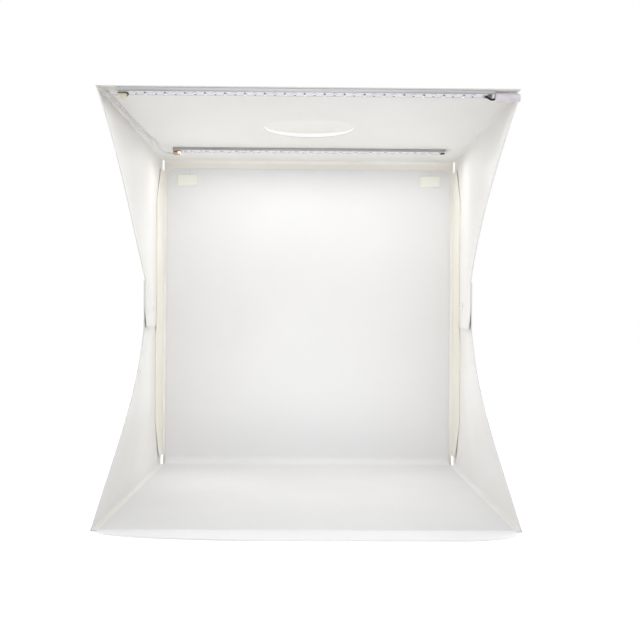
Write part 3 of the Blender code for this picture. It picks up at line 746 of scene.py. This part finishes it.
hanging = laidSheet("backdropSheet", backdrop, backdropPoint, (0, -1, 1))
thicken(hanging, backdrop["thickness"])
softenRim(hanging, backdrop["rim"], 1)
shadeDress(hanging, "backdropSheet", backdrop["smooth"])
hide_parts("backdrop_wall", "backdrop_floor")
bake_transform(hanging)
print("backdrop hung")

# Creases: a thin skin of the sheet runs over each fold inside and out, so no light comes through
fold = {
    "skin": 0.00010,
    "lift": 0.00007,
    "steps": 64,
    "smooth": 60,
    "guard": 0.000001,
    "sides": {
        "Outer": {
            "across": [-0.0032, -0.0016, -0.0008, -0.0003, 0.0003, 0.0008, 0.0016, 0.0032],
            "reach": 0.0014, "rear": 0.1985,
        },
        "Inner": {
            "across": [-0.0021, -0.0019, -0.0017, 0.0017, 0.0019, 0.0021],
            "reach": 0.0019, "rear": 0.1950,
        },
    },
    "topFronts": {"Left": -0.1895, "Right": -0.1735},
    "floorEdge": -0.1995,
    "floorFront": -0.1994,
    "wingX": 0.1961,
    "wingSpan": (0.014, 0.396),
    "wingEnds": ((-0.0008, 0.1987), (0.0, 0.1972)),
    "wing": [
        (-0.0030, 0.1989), (-0.0012, 0.1989), (-0.0004, 0.1987), (-0.0002, 0.1982),
        (-0.00016, 0.1976), (-0.00016, 0.1966), (-0.00016, 0.1950),
    ],
    "panelSpan": (-0.1955, 0.1955),
    "insideTop": [
        (0.1940, 0.41287), (0.1962, 0.41287), (0.1978, 0.4123), (0.1986, 0.4110), (0.19887, 0.4085),
    ],
    "before": (-0.0032, -0.0008, -0.0002),
    "after": (0.0002, 0.0008, 0.0034),
    "corner": (0.0001, 0.0016),
    "insideEnds": ((0, 0.1989, 0.4090), (0, 0.1950, 0.4129)),
    "lipSpan": (-0.193, 0.193),
    "lipEnds": ((0, -0.1994, 0.001), (0, -0.2009, 0.001)),
    "lip": [(y, 0.00113) for y in (-0.1975, -0.1993, -0.2002, -0.2012, -0.2030)],
    "windowSpan": (-0.0235, 0.0235),
    "window": (-0.0030, -0.0012, -0.0004, 0.0004, 0.0012),
    "windowHalf": 0.0008,
}


def creaseSkin(name, places, across, ends, finish="foldSheet"):
    # Laid by its place at each stop across the fold, with straight runs between the stops
    count = len(across) - 1

    def lay(u, v):
        spot = min(count - 1, int(u * count + fold["guard"]))
        share = u * count - spot
        return places(across[spot], v).lerp(places(across[spot + 1], v), share)

    piece = laidSheet(name, {"columns": count * 2, "rows": fold["steps"]}, lay)
    thicken(piece, fold["skin"], 0.0)
    recalculate(piece)
    shadeDress(piece, finish, fold["smooth"])
    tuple(ends[0])
    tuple(ends[1])
    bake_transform(piece)


def sideFold(name, side, surface, panelZ, frontEdge, frontY, part):
    # Panel part on one side of the corner, flap part on the other
    lift, sheet = fold["lift"], box["sheet"]
    upwards = 1 if panelZ == 0 else -1
    inwards = -sheet - lift if part == "Inner" else lift
    values = fold["sides"][part]
    reach = flap["lowerReach"] if upwards > 0 else flap["upperReach"]
    panelFace = panelZ - upwards * inwards

    def places(d, v):
        y = frontY + (values["rear"] - frontY) * v
        if d < 0:
            return Vector((side * (box["half"] + d), y, panelFace))
        onFlap = surface(side, (box["rear"] - y) / (box["rear"] - frontEdge), d / reach)
        return Vector((onFlap.x + side * inwards, y, onFlap.z))

    start = (side * (box["half"] - values["reach"]), 0, panelFace)
    end = (side * (box["half"] + inwards), 0, panelZ + upwards * values["reach"])
    creaseSkin(name, places, values["across"], (start, end))


def profileFold(name, profile, span, inPlane, ends, finish="foldSheet"):
    # The same profile all along a straight fold
    low, high = span

    def places(n, v):
        return inPlane(*profile[n], low + (high - low) * v)

    creaseSkin(name, places, list(range(len(profile))), ends, finish)


def alongX(y, z, x):
    return Vector((x, y, z))


top, rear, lift = box["top"], box["rear"], fold["lift"]
for side, tag in sides:
    for part in ("Outer", "Inner"):
        sideFold(
            f"topFold{part}{tag}", side, upperPoint, top, box["topFront"],
            fold["topFronts"][tag], part,
        )
        sideFold(
            f"floorFold{part}{tag}", side, lowerPoint, 0, fold["floorEdge"],
            fold["floorFront"], part,
        )
    wingX = fold["wingX"]

    def wingPlace(p, q, z, side=side):
        return Vector((side * (wingX + p), q, z))

    profileFold(
        "flangeFold" + tag, fold["wing"], fold["wingSpan"], wingPlace,
        [(side * (wingX + x), y, box["half"]) for x, y in fold["wingEnds"]],
    )

aroundTop = [(rear + y, top + lift) for y in fold["before"]]
aroundTop += [(rear + lift, top - z) for z in fold["after"]]
aroundFloor = [(y, top - z) for y, z in aroundTop]
past, within = fold["corner"]
profileFold(
    "backTopFoldOuter", aroundTop, fold["panelSpan"], alongX,
    ((0, rear + past, top - within), (0, rear - within, top + past)),
)
profileFold(
    "backTopFoldInner", fold["insideTop"], fold["panelSpan"], alongX, fold["insideEnds"],
)
profileFold(
    "backFloorFold", aroundFloor, fold["panelSpan"], alongX,
    ((0, rear - within, -past), (0, rear + past, within)),
)
# The lip fold takes the lip's brighter copy of the sheet: painted light
profileFold(
    "lipFold", fold["lip"], fold["lipSpan"], alongX, fold["lipEnds"], "lipSheetPaintedBright",
)
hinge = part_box("window_cover")[0].y
profileFold(
    "windowFold", [(hinge + y, top + lift) for y in fold["window"]], fold["windowSpan"],
    alongX,
    ((0, hinge - fold["windowHalf"], top), (0, hinge + fold["windowHalf"], top)),
)
print("creases closed")

# Back flanges: they lean outwards and rest their front edges against the side flaps
wing = {
    "root": 0.1978,
    "tip": 0.149,
    "low": 0.0136,
    "high": 0.398,
    "taper": 0.050,
    "taperShare": 0.45,
    "rootX": 0.1966,
    "axisY": 0.1972,
    "straight": 0.006,
    "gap": 0.00012,
    "underLap": 0.010,
    "columns": 26,
    "rows": 60,
    "rim": 0.0003,
}


def flapInset(side, z):
    # How far inwards a side flap's inner face lies beside the flange
    step = flap["rearStep"]
    if z > flap["lapTop"]:
        t = (box["top"] - z) / (box["top"] - flap["lapTop"])
        return step * bowShare(t, *flap["upperSlopes"][side])
    share = min(1, max(0, (z - flap["lapLow"] + wing["underLap"]) / wing["underLap"]))
    return step * share * share * (3 - 2 * share)


def makeWing(side, tag):
    def place(u, v):
        y = wing["root"] + (wing["tip"] - wing["root"]) * u
        taper = wing["taper"] * max(0, (u - wing["taperShare"]) / (1 - wing["taperShare"]))
        z = wing["low"] + taper + (wing["high"] - wing["low"] - 2 * taper) * v
        bendY = wing["axisY"] - wing["straight"]
        bent = max(0, (bendY - y) / (bendY - wing["tip"]))
        outer = box["half"] - box["sheet"] * 1.5 - flapInset(side, z) - wing["gap"]
        return Vector((side * (wing["rootX"] + (outer - wing["rootX"]) * bent), y, z))

    piece = laidSheet("backFlange" + tag, wing, place, (side, 0, 0))
    thicken(piece, box["sheet"], 0.0)
    softenRim(piece, wing["rim"], 3)
    recalculate(piece)
    word = tag.lower()
    # The flange is given the painted cream tone and the painted shade at its cut edge
    finishPiece(piece, "flangeSheetPaintedLight", "flange_" + word, "sheet", ["back_flange_" + word])


for side, tag in sides:
    makeWing(side, tag)

# Front lip: its top dips to a thin pressed edge
lip = {
    "root": -0.2003,
    "reach": 0.035,
    "half": 0.195,
    "corners": (0.160, 0.058),
    "edge": 0.0022,
    "edgeHeight": 0.00028,
    "under": 0.00008,
    "columns": 90,
    "rows": 28,
    "smooth": 50,
}


def lipPoint(u, v):
    t = math.sin(v * math.pi / 2)
    narrowing = math.sqrt(max(0, 1 - t * t))
    left = -lip["half"] + lip["corners"][0] * (1 - narrowing)
    right = lip["half"] - lip["corners"][1] * (1 - narrowing)
    x = left + (right - left) * u
    inwards = min(lip["reach"] * (1 - t), x - left, right - x)
    share = min(1, max(0, inwards / lip["edge"]))
    dip = (1 - share * (2 - share)) * (box["sheet"] - lip["edgeHeight"])
    return Vector((x, lip["root"] - lip["reach"] * t, box["sheet"] - dip))


def makeLip():
    piece = laidSheet("frontLip", lip, lipPoint, (0, 0, 1))
    selectOnly(piece)
    startEdit()
    extrude(0, 0, -box["sheet"])
    bpy.ops.transform.resize(value=(1, 1, 0), center_override=(0, 0, lip["under"]))
    endEdit()
    recalculate(piece)
    # The lip is given the brighter copy of the sheet: painted light
    finishPiece(piece, "lipSheetPaintedBright", "lip", "sheet", ["front_lip"], lip["smooth"])


makeLip()
print("flanges and lip laid")


def openRing(piece):
    # A ring is open in its middle, so its first and last circles are joined
    pick(piece, lambda face: len(face.vertices) > 4)
    bpy.ops.mesh.delete(type="FACE")
    bpy.ops.mesh.select_mode(type="EDGE")
    bpy.ops.mesh.select_non_manifold()
    bpy.ops.mesh.bridge_edge_loops()
    endPick()
    recalculate(piece)


def turnedPiece(name, profile, steps, place, direction, ring=False):
    # A filled circle, extruded and scaled up the profile of radius and height, then stood at its place
    radius, height = profile[0]
    bpy.ops.mesh.primitive_circle_add(
        vertices=steps, radius=radius, fill_type="NGON", location=(0, 0, height)
    )
    piece = settle(bpy.context.object, name)
    startEdit()
    for nextRadius, nextHeight in profile[1:]:
        extrude(0, 0, nextHeight - height)
        ratio = nextRadius / radius
        bpy.ops.transform.resize(value=(ratio, ratio, 1), center_override=(0, 0, nextHeight))
        radius, height = nextRadius, nextHeight
    endEdit()
    recalculate(piece)
    if ring:
        openRing(piece)
    piece.rotation_euler = Vector((0, 0, 1)).rotation_difference(direction).to_euler()
    piece.location = place
    return settle(piece, name)


def blockPiece(name, low, high, bevel, segments=2):
    # A block with its edges rounded, or cut where it has one segment
    piece = plainBlock(name, low, high)
    startEdit()
    bpy.ops.mesh.bevel(offset=bevel, segments=segments, affect="EDGES")
    endEdit()
    return piece


def joined(name, pieces):
    selectOnly(*pieces)
    bpy.ops.object.join()
    made = bpy.context.object
    made.name = made.data.name = name
    return made


def repeated(piece, places, name):
    # One model, copied to each place with a mesh of its own, then joined
    copies = []
    for place in places:
        copy = piece.copy()
        copy.data = piece.data.copy()
        copy.location = place
        bpy.context.scene.collection.objects.link(copy)
        copies.append(copy)
    bpy.data.objects.remove(piece, do_unlink=True)
    for copy in copies:
        settle(copy, name)
    return joined(name, copies)


# Snaps: caps inside, rings and studs between the flaps, rivets outside
snap = {
    "rise": 0.00275,
    "steps": 40,
    "smooth": 30,
    "shareStep": 0.001,
    "aimRounds": 4,
    "Cap": [(0.0014, 0.0006), (0.0014, -0.0013), (0.0055, -0.0013), (0.0055, -0.00165), (0.0052, -0.0021),
            (0.0044, -0.0024), (0.0030, -0.00258), (0.0024, -0.0026), (0.0021, -0.00245), (0.0010, -0.0024)],
    "Ring": [(0.0018, 0.0010), (0.0024, 0.0010), (0.0024, 0.0021), (0.0027, 0.0022), (0.0038, 0.0022),
             (0.0042, 0.0020), (0.0044, 0.0012), (0.0048, 0.0009), (0.0048, 0.0003), (0.0018, 0.0003)],
    "Stud": [(0.0009, -0.0013), (0.0042, -0.0013), (0.0042, -0.0019), (0.0040, -0.0020), (0.0018, -0.0020),
             (0.0016, -0.0022), (0.0020, -0.0026), (0.0019, -0.0030), (0.0014, -0.0032)],
    "Rivet": [(0.0009, -0.0020), (0.0009, 0.0003), (0.0045, 0.0003), (0.0045, 0.0007), (0.0041, 0.0011),
              (0.0030, 0.0014), (0.0022, 0.00142), (0.0018, 0.00128), (0.0008, 0.00124)],
}


def surfaceFrame(surface, side, a, b):
    # Point on a flap's outer face, and the way out of the box there
    here, step = surface(side, a, b), snap["shareStep"]
    along = surface(side, a + step, b) - here
    down = surface(side, a, b + step) - here
    normal = along.cross(down).normalized()
    return here, normal if normal.x * side > 0 else -normal


def facingShares(side, start, direction):
    # Where a line from the upper flap comes out of the lower flap
    reach = 0
    for _ in range(snap["aimRounds"]):
        at = start + direction * reach
        a = (box["rear"] - at.y) / (box["rear"] - box["front"] - flap["edgeSetback"])
        b = at.z / flap["lowerReach"]
        reach += (lowerPoint(side, a, b).x - at.x) / direction.x
    return a, b


def makeSnap(side, tag):
    word = tag.lower()
    snapZ = box["top"] / 2 + snap["rise"]
    share = (box["top"] - snapZ) / flap["upperReach"]
    upper = surfaceFrame(upperPoint, side, flap["snapShare"], share)
    lower = surfaceFrame(lowerPoint, side, *facingShares(side, *upper))
    for part, frame, body, node in (
        ("Cap", upper, "upper_", "snap_cap_"), ("Ring", upper, "upper_", "snap_socket_"),
        ("Stud", lower, "lower_", "snap_stud_"), ("Rivet", lower, "lower_", "snap_rivet_"),
    ):
        name, steps = f"snap{part}{tag}", snap["steps"]
        piece = turnedPiece(name, snap[part], steps, *frame, ring=part == "Ring")
        finishPiece(piece, "nickelPlate", body + word, "snap_metal", [node + word], snap["smooth"])


for side, tag in sides:
    makeSnap(side, tag)
print("snaps turned")

# Light bars: board with packages, resistors and solder, connector and tab
bar = {
    "boardThick": 0.0014,
    "boardRim": 0.00012,
    "pitch": 0.0094,
    "count": 35,
    "apart": 0.005,
    "package": (0.0034, 0.0027, 0.0009),
    "packageBevel": 0.00022,
    "lensInset": 0.00042,
    "lensDepth": 0.00022,
    "lensTaper": 0.9,
    "lensFacing": -0.9,
    "resistor": (0.0020, 0.0012, 0.0006),
    "resistorBody": 0.32,
    "padReach": 0.0004,
    "padThick": 0.00014,
    "padWidth": 0.9,
    "rimShare": 0.4,
    "channelHeight": 0.0034,
    "channelWall": 0.0011,
    "channelWeb": 0.0009,
    "channelRim": 0.0002,
    "tape": 0.0004,
    "tapeInset": 0.0003,
    "tapeRimShare": 0.3,
    "ends": {"Front": (-0.1803, 0.1746), "Rear": (-0.1712, 0.1716)},
    "tab": (0.0052, 0.0002, 0.0012),
    "tabRim": 0.0002,
}
panelUnder = box["top"] - box["sheet"]
channelTop = panelUnder - bar["tape"]
channelBase = channelTop - bar["channelHeight"]


def makeChannel(tag):
    # Extruded channel under its squeezed foam tape
    word = tag.lower()
    low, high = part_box(word + "_bar_channel")
    start, end = bar["ends"][tag]
    wall, inset = bar["channelWall"], bar["tapeInset"]
    channel = plainBlock(word + "Channel", (start, low.y, channelBase), (end, high.y, channelTop))
    slotLow = (start - wall, low.y + wall, channelBase - wall)
    slotHigh = (end + wall, high.y - wall, channelTop - bar["channelWeb"])
    cutAway(channel, plainBlock("slotCutter", slotLow, slotHigh))
    softenRim(channel, bar["channelRim"])
    finishPiece(channel, "drawnAluminium", "top", "bar_metal", [word + "_bar_channel"])
    tapeLow = (start + inset, low.y + inset, channelTop)
    tapeHigh = (end - inset, high.y - inset, panelUnder)
    foam = blockPiece(word + "Tape", tapeLow, tapeHigh, bar["tape"] * bar["tapeRimShare"])
    finishPiece(foam, "foamTape", "top", "tape", [word + "_bar_tape"])


def partCorners(size):
    # A part hangs from the level of its pads
    length, width, height = size
    return (-length / 2, -width / 2, -height), (length / 2, width / 2, 0)


def makePackage():
    # White housing with a sunk lens below, its edges cut
    piece = blockPiece("package", *partCorners(bar["package"]), bar["packageBevel"], 1)
    pick(piece, lambda face: face.normal.z < bar["lensFacing"])
    bpy.ops.mesh.inset(thickness=bar["lensInset"])
    extrude(0, 0, bar["lensDepth"])
    taper = bar["lensTaper"]
    bpy.ops.transform.resize(value=(taper, taper, 1), center_override=(0, 0, 0))
    endEdit()
    dress(piece, "packageHousing", "packageLens")
    for face in piece.data.polygons:
        face.material_index = 1 if face.select else 0
    bpy.ops.object.mode_set(mode="EDIT")
    endPick()
    return piece


def makeResistor():
    # Dark body between two tinned ends
    bodyEnd = bar["resistorBody"] * bar["resistor"][0]
    piece = plainBlock("resistor", *partCorners(bar["resistor"]))
    for x in (-bodyEnd, bodyEnd):
        startEdit()
        bpy.ops.mesh.bisect(plane_co=(x, 0, 0), plane_no=(1, 0, 0))
        endEdit()
    dress(piece, "darkPlastic", "solderedTin")
    for face in piece.data.polygons:
        face.material_index = 1 if abs(face.center.x) > bodyEnd else 0
    return piece


def makePads(size):
    # Two tinned pads that reach out past a part's ends
    length, width = size[:2]
    reach, thick = bar["padReach"], bar["padThick"]
    across = width / 2 * bar["padWidth"]
    pads = []
    for side in (-1, 1):
        low = (side * length / 2 - reach, -across, -thick)
        high = (side * length / 2 + reach, across, 0)
        pads.append(blockPiece("pad", low, high, thick * bar["rimShare"], 1))
    made = joined("pads", pads)
    dress(made, "solderedTin")
    return made


def makeBoard(tag):
    word = tag.lower()
    low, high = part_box(word + "_bar_board")
    x, y = (low.x + high.x) / 2, (low.y + high.y) / 2
    first = x - bar["pitch"] * (bar["count"] - 1) / 2
    rows = {1: [], -1: []}
    for n in range(bar["count"]):
        row = 1 if n % 2 else -1
        for kind in rows:
            across = y + kind * row * bar["apart"] / 2
            rows[kind].append((first + bar["pitch"] * n, across, channelBase))
    under, over = (low.x, low.y, channelBase), (high.x, high.y, channelBase + bar["boardThick"])
    board = blockPiece(word + "Board", under, over, bar["boardRim"], 1)
    finishPiece(board, "boardMask", "top", "board", [word + "_bar_board"])
    for model, kind, name in (
        (makePackage(), 1, "Packages"), (makeResistor(), -1, "Resistors"),
        (makePads(bar["package"]), 1, "PackagePads"),
        (makePads(bar["resistor"]), -1, "ResistorPads"),
    ):
        finishPiece(repeated(model, rows[kind], word + name), None, "top", "board")


def cordPiece(name, route, radius, finish, slotName, nodes=()):
    # A short wire through a few points
    selectOnly(cordCurve(name, smoothRoute(route, cordMesh["wirePoints"])[0], radius, finish))
    bpy.ops.object.convert(target="MESH")
    finishPiece(bpy.context.object, None, "top", slotName, nodes)


connectorPlan = {
    "Front": {
        "ends": (-0.1806, -0.1722), "slot": "brass_contact",
        "finishes": ("connectorCream", "olivePlastic"),
    },
    "Rear": {
        "ends": (-0.1714, -0.1626), "slot": "amber_plastic",
        "finishes": ("connectorAmber", "darkPlastic"),
    },
    "height": 0.0045,
    "rim": 0.0004,
    "inset": 0.0006,
    "flatFacing": -0.99,
    "hollows": ((0, (0.0018, 0, 0)), (1, (0, 0.0003, 0)), (2, (0, 0, 0.0003))),
    "latch": 0.0013,
    "latchOver": 0.0002,
    "latchShort": 0.0010,
    "latchRim": 0.0003,
    "bladeApart": 0.0020,
    "bladeHalf": 0.0006,
    "bladeEnds": (-0.0030, 0.0014),
    "bladeThick": 0.0011,
    "bladeRim": 0.0002,
    "wire": 0.00042,
    "wireIn": 0.0008,
    "wireRoute": [
        (-0.0012, -0.0008), (0.0003, -0.0009), (0.0014, -0.0016),
        (0.0017, -0.0026), (0.0010, -0.0036), (-0.0008, -0.0040),
    ],
}


def makeConnector(tag):
    # Moulded block with a latch along its top, hollows in its faces, contact blades and a looped wire
    plan, word = connectorPlan, tag.lower()
    low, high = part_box(word + "_bar_connector")
    start, end = plan[tag]["ends"]
    blockFinish, latchFinish = plan[tag]["finishes"]
    split = channelBase - plan["latch"]
    block = blockPiece(
        word + "Connector", (start, low.y, channelBase - plan["height"]), (end, high.y, split), plan["rim"]
    )
    for axis, depth in plan["hollows"]:
        flat = [face for face in block.data.polygons if face.normal[axis] < plan["flatFacing"]]
        largest = max(flat, key=lambda face: face.area).index
        pick(block, lambda face: face.index == largest)
        bpy.ops.mesh.inset(thickness=plan["inset"])
        extrude(*depth)
        endPick()
    finishPiece(block, blockFinish, "top", plan[tag]["slot"], [word + "_bar_connector"])
    over = plan["latchOver"]
    latchLow = (start + over, low.y - over, split)
    latchHigh = (end - plan["latchShort"], high.y + over, channelBase)
    cap = blockPiece(word + "Latch", latchLow, latchHigh, plan["latchRim"])
    finishPiece(cap, latchFinish, "top", "dark_plastic")
    blades = []
    for side in (-1, 1):
        middle = (low.y + high.y) / 2 + side * plan["bladeApart"]
        near, far = (end + x for x in plan["bladeEnds"])
        lowEnd = (near, middle - plan["bladeHalf"], channelBase - plan["bladeThick"])
        highEnd = (far, middle + plan["bladeHalf"], channelBase)
        blades.append(blockPiece("blade", lowEnd, highEnd, plan["bladeRim"], 1))
    finishPiece(joined(word + "Contacts", blades), "brassContact", "top", "contact_metal")
    route = [(end + x, low.y + plan["wireIn"], channelBase + z) for x, z in plan["wireRoute"]]
    cordPiece(word + "Jumper", route, plan["wire"], "leadJacket", "lead_jacket")


for tag in ("Front", "Rear"):
    makeChannel(tag)
    makeBoard(tag)
for tag in ("Front", "Rear"):
    makeConnector(tag)
tabLow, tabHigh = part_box("rear_bar_end_tab")
tabEnd = bar["ends"]["Rear"][1]
tabStart, tabShort, tabDrop = bar["tab"]
tab = blockPiece(
    "rearTab", (tabEnd - tabStart, tabLow.y, channelBase - tabDrop),
    (tabEnd - tabShort, tabHigh.y, channelBase), bar["tabRim"],
)
finishPiece(tab, "darkPlastic", "top", "dark_plastic", ["rear_bar_end_tab"])
print("light bars made")

# Power socket: moulded barrel with a bore, and two leads from the board
socketPlan = {
    "profile": [(0.0034, 0.0), (0.0041, 0.0002), (0.0045, 0.0006), (0.0047, 0.0012), (0.0047, 0.0140),
                (0.00462, 0.0150), (0.0038, 0.0234), (0.0036, 0.0238), (0.0033, 0.0240), (0.0030, 0.0240),
                (0.0029, 0.0238), (0.0029, 0.0140)],
    "steps": 48,
    "leadRadius": 0.0008,
    "leadStops": (0.0018, 0.0042, 0.0066),
    "leadDip": 0.0001,
    "leadIn": 0.0006,
    "solderLow": (-0.0012, -0.0010, -0.0009),
    "solderHigh": (0.0010, 0.0010, 0.0002),
    "solderRim": 0.00045,
}
shellLow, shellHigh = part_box("socket_shell")
socketAt = Vector((shellLow.x, (shellLow.y + shellHigh.y) / 2, (shellLow.z + shellHigh.z) / 2))
shell = turnedPiece(
    "socketShell", socketPlan["profile"], socketPlan["steps"], socketAt, Vector((1, 0, 0))
)
finishPiece(shell, "socketShellPlastic", "top", "socket_plastic", ["socket_shell"])


def makeLead(tag):
    # Tinned joint on the board, then a black jacket into the socket
    low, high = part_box("socket_lead_" + tag)
    y, z = (low.y + high.y) / 2, low.z + socketPlan["leadRadius"]
    boardZ, dip = channelBase - socketPlan["leadRadius"], socketPlan["leadDip"]
    one, two, three = (low.x + stop for stop in socketPlan["leadStops"])
    route = [
        (low.x, y, boardZ), (one, y, boardZ - dip), (two, y, (boardZ + z) / 2),
        (three, y, z - dip), (high.x + socketPlan["leadIn"], y, z),
    ]
    cordPiece(
        "lead" + tag.capitalize(), route, socketPlan["leadRadius"], "leadJacket",
        "lead_jacket", ["socket_lead_" + tag],
    )
    joint = Vector((low.x, y, channelBase))
    ends = (joint + Vector(socketPlan[corner]) for corner in ("solderLow", "solderHigh"))
    solder = blockPiece("solder" + tag.capitalize(), *ends, socketPlan["solderRim"], 3)
    finishPiece(solder, "solderedTin", "top", "contact_metal")


makeLead("front")
makeLead("rear")
print("socket made")

# What hangs the backdrop: two pile patches and two round studs
hangPlan = {
    "patchCorner": 0.0014,
    "patchRim": 0.0001,
    "stud": [(0.0012, -0.0014), (0.0012, 0.0), (0.0029, 0.0), (0.0029, 0.0004), (0.0026, 0.0008),
             (0.0018, 0.00098), (0.0008, 0.00102)],
    "studOut": 0.0010,
    "steps": 40,
}


def makePatch(tag):
    nodeName = "backdrop_patch_" + tag
    piece = blockPiece("patch" + tag.capitalize(), *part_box(nodeName), hangPlan["patchCorner"], 4)
    softenRim(piece, hangPlan["patchRim"], 1)
    finishPiece(piece, "patchPile", "back", "hook_and_loop", [nodeName])


def makeStud(tag):
    nodeName = "backdrop_stud_" + tag
    low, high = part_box(nodeName)
    at = Vector(((low.x + high.x) / 2, low.y + hangPlan["studOut"], (low.z + high.z) / 2))
    name = "stud" + tag.capitalize()
    piece = turnedPiece(name, hangPlan["stud"], hangPlan["steps"], at, Vector((0, -1, 0)))
    finishPiece(piece, "studPlastic", "back", "stud_plastic", [nodeName])


for tag in ("left", "right"):
    makePatch(tag)
    makeStud(tag)
print("backdrop hangers made")

# Solids that stay get their finishes
# The back panel takes the warmer copy of the sheet: painted light
kept = {
    "floor_panel": "whiteSheet", "back_panel": "backSheetPaintedWarm", "top_panel": "whiteSheet",
    "window_cover": "coverSheet", "socket_sleeve": "nickelPlate", "socket_pin": "nickelPlate",
}
for nodeName, finish in kept.items():
    for slot in nodeObjects[nodeName].material_slots:
        slot.material = finishes[finish]

# Floor, lamps and world
stageFloor = {"size": 8.0, "z": -0.0006, "albedo": (215, 215, 215), "glow": 0.74}
soft = {"aim": (0, 0, 0.2), "size": (1.6, 1.6)}
barLamp = {"size": (0.33, 0.011)}
lampPlan = {
    "frontSoft": {"place": (0.0, -2.3, 1.5), "aim": (0, 0, 0.2), "size": (2.4, 1.6), "watts": 12.0},
    "leftSoft": {"place": (-2.2, -0.6, 1.4), **soft, "watts": 13.0},
    "rightSoft": {"place": (2.2, -0.4, 1.6), **soft, "watts": 12.0},
    "leftRearSoft": {"place": (-2.1, 1.4, 1.0), **soft, "watts": 20.0},
    "rightRearSoft": {"place": (2.1, 1.4, 1.0), **soft, "watts": 20.0},
    "topRearSoft": {"place": (0.0, 0.8, 2.4), "aim": (0, 0.05, 0.4), "size": (1.4, 1.4), "watts": 11.0},
    "openingFill": {
        "place": (0.0, -0.80, 0.24), "aim": (0, 0.2, 0.21), "size": (0.34, 0.26), "watts": 0.50,
    },
    "topFill": {"place": (0.0, 0.05, 0.06), "aim": (0, 0.12, 0.4), "size": (0.26, 0.16), "watts": 0.05},
    "innerGlow": {"place": (0.0, -0.08, 0.19), "radius": 0.11, "watts": 0.23},
    "frontBarGlow": {"place": (0.0, -0.1812, 0.4074), "aim": (0, -0.16, 0.0), **barLamp, "watts": 0.05},
    "rearBarGlow": {"place": (0.0, 0.112, 0.4074), "aim": (0, 0.10, 0.0), **barLamp, "watts": 0.19},
}
cornerGlow = {"across": 0.115, "y": 0.05, "heights": (0.09, 0.29), "radius": 0.05, "watts": 0.038}
for number, height in enumerate(cornerGlow["heights"]):
    for side, tag in sides:
        lampPlan[f"cornerGlow{tag}{number + 1}"] = {
            "place": (side * cornerGlow["across"], cornerGlow["y"], height),
            "radius": cornerGlow["radius"], "watts": cornerGlow["watts"],
        }
worldFill = 0.38


def makeStage(values):
    bpy.ops.mesh.primitive_plane_add(size=values["size"], location=(0, 0, values["z"]))
    floor = bpy.context.object
    floor.name = "studioFloor"
    material = bpy.data.materials.new("studioFloor")
    material.use_nodes = True
    tree = material.node_tree
    shader = setInputs(tree.nodes["Principled BSDF"], {
        "Base Color": colour(*values["albedo"]), "Roughness": 1.0, "Specular IOR Level": 0.0,
        "Emission Color": (1, 1, 1, 1),
    })
    seen = newNode(tree, "Math", {1: values["glow"]})
    seen.operation = "MULTIPLY"
    wire(
        tree, (newNode(tree, "LightPath"), "Is Camera Ray", seen, 0),
        (seen, 0, shader, "Emission Strength"),
    )
    floor.data.materials.append(material)


def makeLamps(plan):
    for name, values in plan.items():
        kind = "POINT" if "radius" in values else "AREA"
        bpy.ops.object.light_add(type=kind, location=values["place"])
        lamp = bpy.context.object
        lamp.name = name
        lamp.data.energy = values["watts"]
        lamp.visible_camera = False
        if kind == "POINT":
            lamp.data.shadow_soft_size = values["radius"]
            continue
        lamp.data.shape = "RECTANGLE"
        lamp.data.size, lamp.data.size_y = values["size"]
        aim = Vector(values["aim"]) - Vector(values["place"])
        lamp.rotation_euler = aim.to_track_quat("-Z", "Y").to_euler()


def makeWorld(fill):
    # White to the camera, to gloss and through glass, and a softer fill for the rest
    world = bpy.data.worlds.new("studioWorld")
    bpy.context.scene.world = world
    world.use_nodes = True
    tree = world.node_tree
    background = tree.nodes["Background"]
    background.inputs["Color"].default_value = (1, 1, 1, 1)
    rays = newNode(tree, "LightPath")
    seen = newNode(tree, "Math")
    either = newNode(tree, "Math")
    either.use_clamp = True
    level = newNode(tree, "MapRange", {"To Min": fill, "To Max": 1.0})
    wire(
        tree, (rays, "Is Camera Ray", seen, 0), (rays, "Is Glossy Ray", seen, 1), (seen, 0, either, 0),
        (rays, "Is Transmission Ray", either, 1), (either, 0, level, "Value"),
        (level, "Result", background, "Strength"),
    )


makeStage(stageFloor)
makeLamps(lampPlan)
makeWorld(worldFill)
bpy.context.scene.view_settings.view_transform = "Standard"
print("stage lit")

bpy.context.view_layer.update()
